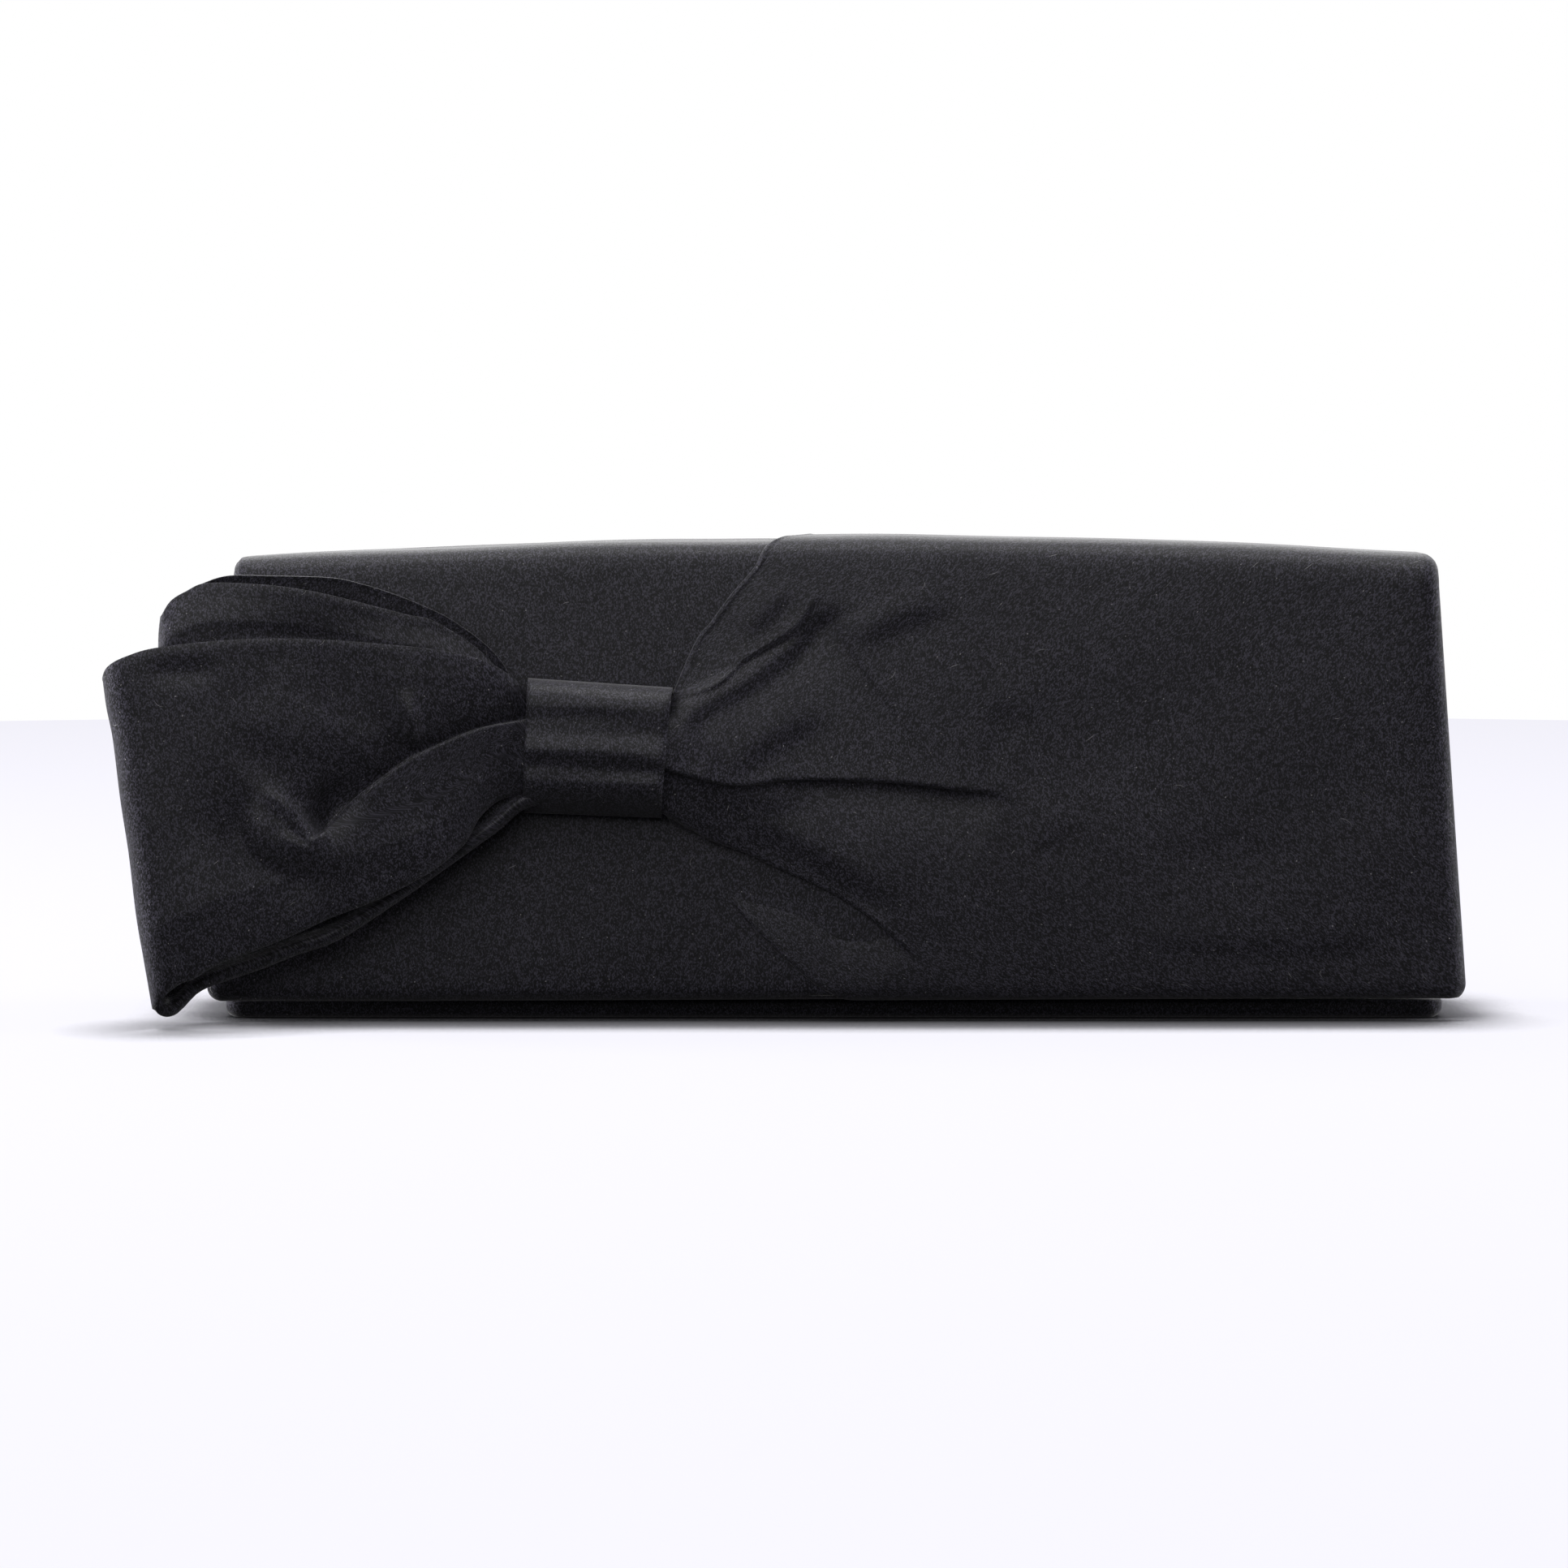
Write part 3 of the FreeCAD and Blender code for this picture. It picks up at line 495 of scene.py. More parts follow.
def millimetres(tree):
    where = addNode(tree, "ShaderNodeTexCoord").outputs["Object"]
    return scaled(tree, where, (1000, 1000, 1000))


satinFinish = {
    "dark": (0.0030, 0.0028, 0.0040, 1),
    "light": (0.0420, 0.0395, 0.0540, 1),
    "lint": (0.30, 0.29, 0.30, 1),
    "rough": 0.42,
    "bump": (0.32, 0.0002),
    "shader": {"Specular IOR Level": 0.15, "Sheen Weight": 0.10, "Sheen Roughness": 0.5},
}


def satinMaterial(name, lintShare):
    dark = satinFinish["dark"]
    material, tree = newMaterial(name)
    where = alongCloth(tree)
    weave = placed(tree, weaveGroup, Vector=where)
    hairs = placed(tree, lintGroup, Vector=where, Share=lintShare * 0.5, Cell=11.0, Length=0.7, Width=0.06)[0]
    dust = placed(tree, lintGroup, Vector=where, Share=lintShare, Cell=4.6, Length=0.11, Width=0.13)[0]
    lint = mathNode(tree, "MAXIMUM", hairs, dust)
    patches = placed(tree, patchesGroup, Vector=where, Size=34.0)[0]
    threads = mixColours(tree, weave["Glitter"], dark, satinFinish["light"])
    shaded = mixColours(tree, times(tree, patches, 0.22), threads, dark)
    colour = mixColours(tree, lint, shaded, satinFinish["lint"])
    gloss = plus(tree, times(tree, weave["Glitter"], -0.09), times(tree, patches, 0.05))
    rough = plus(tree, gloss, satinFinish["rough"])
    rough = mathNode(tree, "MAXIMUM", rough, times(tree, lint, 0.9))
    height = plus(tree, weave["Height"], times(tree, lint, 1.2))
    surface(tree, colour, rough, height, satinFinish["bump"], satinFinish["shader"])
    return material


def liningMaterial():
    # plain black lining cloth with a fine twill
    material, tree = newMaterial("liningCloth")
    where = alongCloth(tree)
    links = {"Vector": where, "Scale": 0.55, "Distortion": 0.5}
    twill = addNode(tree, "ShaderNodeTexWave", links, bands_direction="DIAGONAL").outputs["Fac"]
    weave = placed(tree, weaveGroup, Vector=where, Floats=2.4)
    patches = placed(tree, patchesGroup, Vector=where, Size=24.0)[0]
    lint = placed(tree, lintGroup, Vector=where, Share=0.2)[0]
    threads = mixColours(tree, weave["Glitter"], (0.008, 0.008, 0.0095, 1), (0.028, 0.028, 0.033, 1))
    shaded = mixColours(tree, times(tree, patches, 0.4), threads, (0.011, 0.011, 0.013, 1))
    colour = mixColours(tree, lint, shaded, (0.2, 0.2, 0.2, 1))
    rough = mapped(tree, weave["Glitter"], 0, 1, 0.66, 0.5)
    height = plus(tree, weave["Height"], times(tree, twill, 0.6))
    surface(tree, colour, rough, height, (0.25, 0.0002), {"Specular IOR Level": 0.3})
    return material


def boardMaterial():
    material, tree = newMaterial("paperboard")
    where = millimetres(tree)
    patches = placed(tree, patchesGroup, Vector=where, Size=9.0)[0]
    fibres = noise(tree, where, 2.5, 5.0, Roughness=0.7)
    flecks = mapped(tree, fibres, 0.62, 0.7, 0.0, 1.0)
    base = mixColours(tree, patches, (0.20, 0.175, 0.145, 1), (0.27, 0.24, 0.20, 1))
    colour = mixColours(tree, times(tree, flecks, 0.5), base, (0.10, 0.085, 0.07, 1))
    surface(tree, colour, mapped(tree, fibres, 0, 1, 0.95, 0.78), fibres, (0.3, 0.0001), {})
    return material


def waddingMaterial():
    material, tree = newMaterial("waddingFibre")
    where = millimetres(tree)
    patches = placed(tree, patchesGroup, Vector=where, Size=5.0)[0]
    tufts = noise(tree, where, 1.2, 8.0, Roughness=0.75, Distortion=1.5)
    colour = mixColours(tree, patches, (0.62, 0.61, 0.58, 1), (0.76, 0.76, 0.74, 1))
    rough = mapped(tree, tufts, 0, 1, 1.0, 0.85)
    surface(tree, colour, rough, tufts, (0.8, 0.0005), {"Sheen Weight": 0.2})
    return material


def metalMaterial(name, plain, worn, rough):
    material, tree = newMaterial(name)
    where = millimetres(tree)
    patches = placed(tree, patchesGroup, Vector=where, Size=3.0)[0]
    scratches = noise(tree, scaled(tree, where, (6.0, 0.4, 6.0)), 2.0, 4.0)
    marks = mapped(tree, scratches, 0.55, 0.75, 0.0, 1.0)
    colour = mixColours(tree, times(tree, marks, 0.5), plain, worn)
    gloss = plus(tree, mapped(tree, marks, 0, 1, rough, rough + 0.2), times(tree, patches, 0.06))
    surface(tree, colour, gloss, scratches, (0.08, 0.00005), {"Metallic": 1.0})
    return material


# a look is a material with its slot
flapLook = (satinMaterial("flapSatin", 0.30), "satin")
bowLook = (satinMaterial("bowSatin", 0.45), "bow_satin")
bagLook = (satinMaterial("bagSatin", 0.25), "satin")
liningLook = (liningMaterial(), "lining")
nickel = metalMaterial("nickel", (0.62, 0.60, 0.57, 1), (0.45, 0.43, 0.40, 1), 0.18)
magnetPlate = metalMaterial("magnetPlate", (0.26, 0.26, 0.28, 1), (0.16, 0.16, 0.17, 1), 0.38)
kept = [
    (boardMaterial(), ["base_board", "front_board", "back_board", "flap_board"]),
    (waddingMaterial(), ["flap_wadding", "spine_pad"]),
    (nickel, ["snap_socket", "socket_washer", "snap_stud", "stud_washer"]),
    (magnetPlate, ["snap_magnet"]),
]
for material, names in kept:
    for name in names:
        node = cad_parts[name]
        for place in node.material_slots:
            place.material = material
        if not node.material_slots:
            node.data.materials.append(material)
print("finishes ready")


# ---- flap: satin over board and wadding, up the front and over the top ----

flap = {
    "columns": 190,
    "rows": 96,
    "edgeRadius": 2.2,
    "wrap": 3.72,  # from the face to the satin turned in behind
    "tuck": 2.8,
    "corner": 3.4,
    "puff": 1.7,
    "hemTilt": 0.4,  # the hem hangs a little lower on the left than on the right
    "unevenness": 0.26,
    "liningMargin": 2.1,
    "liningFoot": 2.0,
    "liningRound": 2.0,
    "studHole": 3.4,
}
thick = {"satin": 0.35, "lining": 0.25}
faceDepth = 0.3  # what lies less deep than this is the face of a cover
flapRows = ([0, 0.58, 0.84, 1], [0, 0.745, 0.885, 1])
faceUp = faceLength(0.0)
topSeam = faceUp + turn + topFlat  # where the satin of the flap ends, at the far edge of the top


def flapHalf(t):
    return hemHalf + (foldHalf - hemHalf) * np.clip(t / faceUp, 0, 1)


def flapLength(x, t):
    # the same share of the way up at every x, since the fold is crowned
    return np.where(t < faceUp, t * faceLength(x) / faceUp, faceLength(x) + t - faceUp)


def hemHang(x, t):
    return -flap["hemTilt"] * np.clip(x / 90, -1, 1) * smooth(1 - t / 30)


def flapPuff(x, t, half):
    # the wadding bellies the face out a little, and it thins towards the fold
    up = np.clip(t / faceUp, 0, 1)
    belly = 0.3 + 0.7 * (4 * up * (1 - up)) ** 0.8 * (0.75 + 0.25 * np.cos(x / half * math.pi / 2))
    edges = (1 - fadeFrom(half - np.abs(x), 5.5)) * (1 - fadeFrom(t, 2.6))
    return flap["puff"] * belly * edges * (1 - smooth((t - faceUp + 1) / 9))


def wrapDepth(w, t):
    # the satin turned in under the top lies a little closer
    return w["depth"] * (1 - 0.1 * smooth((t - faceUp) / 6) * (w["depth"] < -flap["edgeRadius"]))


def liningDepth(edge, depth, middle, pressed):
    # over the turned-in satin at its edge, closer in the middle, and pressed down where it is stitched
    return depth - middle * smooth(edge / 4) - pressed * fadeFrom(edge, 0.35)


def flapSatin():
    profile = edgeProfile(flap["edgeRadius"], flap["wrap"], flap["tuck"], flap["corner"])
    w = wrapped(flap["columns"], flap["rows"], profile)
    t = upFrom(w, topSeam, flapRows)
    half = flapHalf(t)
    x = w["across"] * (half - w["side"])
    padding = flapPuff(x, t, half) + ripple(x, t, flap["unevenness"], 55, 3)
    d = wrapDepth(w, t) + padding * (w["depth"] > -faceDepth)
    piece = sewn("flapSatin", strip(x, flapLength(x, t) - hemHang(x, t), d), thick["satin"], flapLook)
    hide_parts("flap_cover", "spine_cover")
    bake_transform(piece)


def flapLining():
    # slip-stitched over the turned-in satin, and over the inside of the top
    foot, rounding = flap["liningFoot"], flap["liningRound"]
    u, v = grid(110, 84)
    t = foot + np.interp(v, *flapRows) * (topSeam - foot - 0.3)
    half = flapHalf(t) - flap["liningMargin"]
    nearFoot = np.clip(1 - (t - foot) / rounding, 0, 1)
    x = u * (half - rounding * (1 - np.sqrt(1 - nearFoot ** 2)))
    edge = np.minimum(half - np.abs(x), t - foot)
    lift = liningDepth(edge, 4.22, 0.36, 0.5) - 0.42 * smooth((t - faceUp) / 6)
    d = -lift + ripple(x, t, 0.07, 24, 11) * smooth(edge / 8)
    piece = sewn("flapLining", strip(x, flapLength(x, t), d), thick["lining"], liningLook, flip=True)
    low, high = boxOf("snap_stud")
    cutHole(piece, (low + high) / 2 * mm, flap["studHole"])
    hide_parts("flap_lining", "spine_lining")
    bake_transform(piece)


flapSatin()
flapLining()
print("flap ready")


# ---- back: satin over the board, up to the seam at the far edge of the top ----

back = {
    "columns": 150,
    "rows": 90,
    "edgeRadius": 1.4,
    "wrap": 2.33,
    "tuck": 2.8,
    "corner": 3.4,
    "puff": 0.35,
    "liningFoot": 1.2,
    "liningMargin": 2.0,
}
backRows = ([0, 0.55, 0.82, 1], [0, 0.83, 0.93, 1])
wallTop = backLength(0.0)
backSeam = wallTop + turn


def wallWidth(share):  # half the width of a wall, from its foot to its top
    return wallHalf + (foldHalf - 3 - wallHalf) * share


def backHalf(s):
    return wallWidth(np.clip(s / wallTop, 0, 1)) + 3 * smooth((s - wallTop + 5) / 3.5)


def backPoints(x, s, d):  # s runs up from the foot of the wall, to the same share of the way at every x
    up = np.where(s < wallTop, s * backLength(x) / wallTop, backLength(x) + s - wallTop)
    return strip(x, stripLength(x) - up, d)


def backSatin():
    profile = edgeProfile(back["edgeRadius"], back["wrap"], back["tuck"], back["corner"])
    w = wrapped(back["columns"], back["rows"], profile)
    s = upFrom(w, backSeam, backRows)
    half = backHalf(s)
    x = w["across"] * (half - w["side"])
    thicker = 1 + 0.42 * smooth((s - wallTop + 1) / 3) * (w["depth"] < -1.5)
    edge = np.minimum(half - np.abs(x), s)
    padding = back["puff"] * (1 - fadeFrom(edge, 9)) + ripple(x, s, 0.12, 60, 8)
    d = w["depth"] * thicker + padding * (w["depth"] > -faceDepth) - 0.7 * fadeFrom(backSeam - s, 1.5)
    piece = sewn("backSatin", backPoints(x, s, d), thick["satin"], bagLook, flip=True)
    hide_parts("back_cover")
    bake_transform(piece)


def backLining():
    u, v = grid(100, 80)
    s = back["liningFoot"] + np.interp(v, *backRows) * (backSeam - back["liningFoot"])
    half = backHalf(s) - back["liningMargin"]
    x = u * half
    edge = half - np.abs(x)
    lift = liningDepth(edge, 2.62, 0.2, 0.3) + 1.02 * smooth((s - wallTop + 1) / 3)
    d = -lift + ripple(x, s, 0.05, 26, 21) * smooth(edge / 8) * smooth((wallTop - s) / 10)
    piece = sewn("backLining", backPoints(x, s, d), thick["lining"], liningLook)
    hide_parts("back_lining")
    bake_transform(piece)


backSatin()
backLining()
print("back ready")


# ---- base ----

base = {"columns": 150, "rows": 34, "edgeRadius": 2.2, "tuck": 1.8, "corner": 3.6, "liningRise": 0.5}


def baseSatin():
    rise, depth = baseHigh[2], baseHigh[1]
    profile = edgeProfile(base["edgeRadius"], rise, base["tuck"], base["corner"])
    w = wrapped(base["columns"], base["rows"], profile, topWrap=True)
    x, y = w["across"] * (baseHigh[0] - w["side"]), upFrom(w, 2 * depth) - depth
    piece = sewn("baseSatin", np.stack([x, y, -w["depth"]], axis=-1), thick["satin"], bagLook, flip=True)
    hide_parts("base_cover")
    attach(piece, "bag")


def baseLining():
    high = boxOf("base_lining")[1]
    u, v = grid(100, 24, low=-1)
    x, y = u * high[0], v * high[1]
    edge = np.minimum(high[0] - np.abs(x), high[1] - np.abs(y))
    z = high[2] + base["liningRise"] * np.exp(-edge / 1.2) + ripple(x, y, 0.05, 22, 31)
    piece = sewn("baseLining", np.stack([x, y, z], axis=-1), thick["lining"], liningLook)
    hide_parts("base_lining")
    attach(piece, "bag")


baseSatin()
baseLining()
print("base ready")


# ---- front wall ----

front = {
    "columns": 130,
    "rows": 56,
    "edgeRadius": 1.3,
    "wrap": 1.92,
    "tuck": 2.6,
    "corner": 3.2,
    "puff": 0.3,
    "snapUp": 17.5,
    "snapHole": 4.6,
    "liningFoot": 1.6,
    "liningMargin": 1.8,
}
frontHeight = (boardHigh[2] - wallFootZ + cut["satin"] * sinLean) / cosLean + cut["rim"]


def frontPoint(x, h, d):
    y, z = h * sinLean - d * cosLean, h * cosLean + d * sinLean
    return np.stack([x, baseLow[1] + y, wallFootZ + z], axis=-1)


def frontHalf(h):
    return wallWidth(np.clip(h / frontHeight, 0, 1))


def frontSatin():
    profile = edgeProfile(front["edgeRadius"], front["wrap"], front["tuck"], front["corner"])
    w = wrapped(front["columns"], front["rows"], profile, topWrap=True)
    h = upFrom(w, frontHeight)
    half = frontHalf(h)
    x = w["across"] * (half - w["side"])
    edge = np.minimum(half - np.abs(x), np.minimum(h, frontHeight - h))
    flatAtSnap = 1 - np.exp(-((x ** 2 + (h - front["snapUp"]) ** 2) / 130))
    padding = (front["puff"] * (1 - fadeFrom(edge, 8)) + ripple(x, h, 0.06, 50, 14)) * flatAtSnap
    d = w["depth"] + padding * (w["depth"] > -faceDepth)
    piece = sewn("frontSatin", frontPoint(x, h, d), thick["satin"], bagLook)
    cutHole(piece, frontPoint(0, front["snapUp"], 0) * mm, front["snapHole"])
    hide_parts("front_cover")
    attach(piece, "front_wall")


def frontLining():
    foot, margin = front["liningFoot"], front["liningMargin"]
    u, v = grid(100, 44)
    h = foot + v * (frontHeight - foot - margin)
    half = frontHalf(h) - margin
    x = u * half
    edge = np.minimum(half - np.abs(x), np.minimum(h - foot, frontHeight - margin - h))
    d = -liningDepth(edge, 2.5, 0.14, 0.3) + ripple(x, h, 0.05, 26, 17) * smooth(edge / 8)
    piece = sewn("frontLining", frontPoint(x, h, d), thick["lining"], liningLook, flip=True)
    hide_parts("front_lining")
    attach(piece, "front_wall")


frontSatin()
frontLining()
print("front wall ready")


# ---- pleated sides ----

gusset = {
    "columns": 44,
    "rows": 46,
    "fold": 15.2,
    "foot": 0.6,
    "roll": 1.3,
    "inset": 0.9,
    "clear": 1.75,
    "blunt": 0.02,
}


def gussetPiece(name, side, node, inward, look, thickness):
    low, high = boxOf(node)
    u, v = grid(gusset["columns"], gusset["rows"])
    z = low[2] + v * (high[2] - low[2])
    rise = np.maximum(z - wallFootZ, 0) / (frontHeight * cosLean)
    reach = baseHigh[1] - (z - wallFootZ) * sinLean / cosLean - cut["rim"] - gusset["clear"]
    folded = gusset["foot"] + (gusset["fold"] - gusset["foot"]) * rise ** 1.1
    bend, blunt = np.abs(u), gusset["blunt"]
    across = 1 - (np.sqrt(bend ** 2 + blunt) - math.sqrt(blunt)) / (math.sqrt(1 + blunt) - math.sqrt(blunt))
    x = wallWidth(rise) - gusset["inset"] - inward
    x = x - folded * (0.75 * across + 0.25 * np.sin(across * math.pi / 2))
    x = x + ripple(z, u * 9, 0.12, 30, 5) * (1 - bend)
    hemRoll = 0.25 * np.exp(-((1 - v) * (high[2] - low[2]) / gusset["roll"]) ** 2)
    points = np.stack([side * (x + hemRoll), u * reach, z], axis=-1)
    piece = sewn(name, points, thickness, look, flip=side < 0)
    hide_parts(node)
    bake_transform(piece)


for side, label in ((-1, "left"), (1, "right")):
    gussetPiece(label + "Gusset", side, label + "_gusset", 0.0, bagLook, 0.3)
    gussetPiece(label + "GussetLining", side, label + "_gusset_lining", 1.0, liningLook, 0.2)
print("sides ready")


# ---- slip pocket ----

pocket = {
    "half": 75.0,
    "foot": 14.0,
    "top": 66.0,
    "hem": 8.0,
    "gap": 1.0,
    "sag": 1.1,
    "wall": 2.75,
    "fold": 0.62,
}
pocketTall = pocket["top"] - pocket["foot"]


def pocketPoint(x, s, d):
    return strip(x, stripLength(x) - s, -d)


def pocketRoom(u, s, edge):  # how far the pocket stands off the back's lining
    up = (s - pocket["foot"]) / pocketTall
    return smooth(edge / 5) * pocket["gap"] + pocket["sag"] * (1 - u ** 2) * up ** 3


def slipPocket():
    u, v = grid(90, 40)
    x, s = u * pocket["half"], pocket["foot"] + v * pocketTall
    room = pocketRoom(u, s, np.minimum(pocket["half"] - np.abs(x), s - pocket["foot"]))
    piece = sewn("slipPocket", pocketPoint(x, s, pocket["wall"] + room), 0.3, liningLook, roundEdge=True)
    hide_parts("slip_pocket")
    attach(piece, "bag")
    u, v = grid(90, 8)
    x, s = u * pocket["half"], pocket["top"] - pocket["hem"] * (1 - v) + 0.25
    room = pocketRoom(u, s, pocket["half"] - np.abs(x))
    off = pocket["wall"] + room + pocket["fold"] - 0.3 * np.exp(-np.minimum(v, 1 - v) * 10)
    band = sewn("pocketHem", pocketPoint(x, s, off), 0.35, liningLook, roundEdge=True)
    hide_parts("pocket_hem")
    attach(band, "bag")


slipPocket()
print("pocket ready")


# ---- sash: a wide panel of doubled satin from the knot to the right edge ----

sash = {
    "columns": 212, "rows": 198,
    # how far its face stands off the flap's
    "over": 0.9,
    # how far it rises where it goes into the knot
    "dome": 8.6,
    "domeAt": (-36.0, 50.0),
    "leftEdge": [
        (12, -7.5), (6, -3.3), (0.3, 0.5), (-4.8, 3.6), (-11.6, 9.5), (-18.5, 16.3), (-23.6, 22.3),
        (-28.7, 29.1), (-35.2, 37.6), (-38, 44), (-38, 58), (-34.4, 64), (-29.2, 75.6), (-26.2, 79.4),
        (-21.9, 85.2), (-16.8, 91.2), (-14.5, 95.7), (-10.8, 100.1), (-7.5, 108), (-5, 117),
    ],
    "pleats": [
        {
            "path": [
                (-38, 62.8), (-33.8, 63.3), (-27.3, 64.8), (-23.5, 66.7), (-19.8, 70.2), (-15.2, 73.2),
                (-9.8, 76.7), (-6.8, 79.3), (-4.5, 83), (-0.5, 87.1),
            ],
            "lift": 0.5, "dip": 1.4, "above": 6, "below": 6, "hollow": 0.75, "width": 0.4, "overlap": 0.22,
            "fade": (0.02, 0.4),
        },
        {
            "path": [
                (-39, 49.4), (-35.2, 48.1), (-27.3, 45.8), (-19.8, 44.7), (-12.1, 45.7), (-4.5, 46),
                (3, 45.8), (10.7, 45.5), (18.3, 44.9), (25.9, 43.9), (33.5, 43.2), (38.5, 40.6),
            ],
            "lift": 0.6, "dip": 3.0, "above": 7, "below": 5, "hollow": 0.8, "width": 0.28, "overlap": 0.42,
            "fade": (0.01, 0.2),
        },
        {
            "path": [
                (-40, 41.2), (-36.1, 39), (-30.4, 35.9), (-25.8, 33.2), (-19.8, 31.1), (-12.1, 27.6),
                (-6, 24.9), (0.1, 21.9), (6.1, 18.1), (11.4, 13.9), (15.3, 10.1), (17.6, 6.8),
            ],
            "lift": 0.7, "dip": 1.7, "above": 6, "below": 6, "hollow": 0.5, "width": 0.28, "overlap": 0.42,
            "fade": (0.01, 0.22),
        },
    ],
    # soft steps: path, height, width, fade
    "steps": [
        (
            [
                (-33, 56.5), (-26, 61), (-18.5, 65.3), (-13, 69.3), (-8.5, 73), (-4.8, 77.5), (-1, 81),
                (4, 83),
            ],
            2.5, 2.0, (0.12, 0.3),
        ),
        ([(-23, 45.5), (-18, 49.5), (-12, 54), (-5, 57.5), (1, 61)], 1.9, 2.3, (0.3, 0.5)),
        ([(3, 71), (9.1, 76.8), (18.3, 80.6), (28, 83)], 1.3, 2.5, (0.4, 0.4)),
        ([(-20, 74), (-17.3, 77), (-11.2, 83), (-8, 88)], 1.4, 2.2, (0.4, 0.4)),
        ([(-24, 38), (-12, 33.5), (-5, 29.5), (4, 24.5), (10, 20.8), (15, 16.5)], 2.5, 2.9, (0.25, 0.3)),
        ([(-34, 44), (-26, 41.5), (-18, 40.5), (-10, 40.5), (-2, 41)], 2.6, 2.7, (0.2, 0.45)),
        ([(31, 62), (37, 60.5), (43, 57)], 0.6, 2.6, (0.4, 0.4)),
        ([(41, 30), (46, 34), (51, 40)], 0.6, 2.6, (0.4, 0.4)),
        ([(62, 30), (82, 34), (104, 33)], 0.5, 4.0, (0.4, 0.4)),
        ([(58, 12), (85, 10.5), (118, 11.5)], 0.7, 2.2, (0.3, 0.2)),
    ],
    "thick": 0.6,
}
sashRows = ([0, 0.76, 0.9, 1], [0, 0.745, 0.868, 1])
sashColumns = ([0, 0.03, 0.66, 1], [0, 0.01, 0.47, 1])


def lengthAlong(points):
    return np.concatenate([[0], np.cumsum(np.linalg.norm(np.diff(points, axis=0), axis=1))])


def sashPoints():
    profile = edgeProfile(flap["edgeRadius"], flap["wrap"], flap["tuck"], flap["corner"], proud=sash["over"])
    w = wrapped(sash["columns"], sash["rows"], profile, leftWrap=False)
    t = upFrom(w, topSeam, sashRows)
    t = np.where(t < 0, t * 0.3, t)  # drawn tight round the hem
    arc = lengthAlong(profile)
    unrolled = t.copy()
    unrolled[:len(profile)] = (w["corner"] + arc - arc[-1])[:, None]
    leftLine = smoothPath(sash["leftEdge"], 900)
    start = np.interp(unrolled, leftLine[:, 1], leftLine[:, 0])
    half = flapHalf(t)
    share = np.interp((w["across"] + 1) / 2, *sashColumns)
    x = start + share * (half - w["side"] - start)
    face = w["depth"] > sash["over"] - faceDepth
    fromLeft = x - start
    seated = flapPuff(x, t, half) + ripple(x, t, flap["unevenness"], 55, 3) + ripple(x, t, 0.16, 42, 23)
    pressed = 0.22 * np.exp(-((fromLeft - 0.8) / 0.5) ** 2) * smooth((t - 55) / 25)
    d = wrapDepth(w, t) + (seated + pressed - 0.5 * np.exp(-fromLeft / 0.4)) * face
    # it rises to the knot as a dome
    reach = np.maximum(x - sash["domeAt"][0], 0)
    rise = np.clip(1 - (np.abs(t - sash["domeAt"][1]) / (13.2 + 0.45 * reach)) ** 2.5, 0, 1) ** 0.8
    d = d + sash["dome"] * rise * np.exp(-(reach / 20) ** 1.2) * face
    h = t
    for pleat in sash["pleats"]:
        x1, h1, d1 = crease(x, h, d, pleat)
        x, h, d = np.where(face, x1, x), np.where(face, h1, h), np.where(face, d1, d)
    for path, height, width, fade in sash["steps"]:
        d = d + step(x, h, path, height, width, fade) * face
    d = d - 0.3 * fadeFrom(topSeam - t, 0.5)
    return strip(x, flapLength(x, h) - hemHang(x, t), d)


piece = sewn("sashSatin", sashPoints(), sash["thick"], bowLook)
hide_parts("sash_panel", "sash_spine")
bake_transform(piece)
print("sash ready")


# ---- the two loops of the bow ----

bowOff = 0.9  # the bow lies on the padded flap


def flapPoint(x, h, d):
    d = d + bowOff
    return np.stack([x, hemY + h * sinLean - d * cosLean, hemZ + h * cosLean + d * sinLean], axis=-1)


def edgeLine(points):
    path = smoothPath(points, 900)
    order = np.argsort(path[:, 0])
    return lambda x: np.interp(x, path[order, 0], path[order, 1])


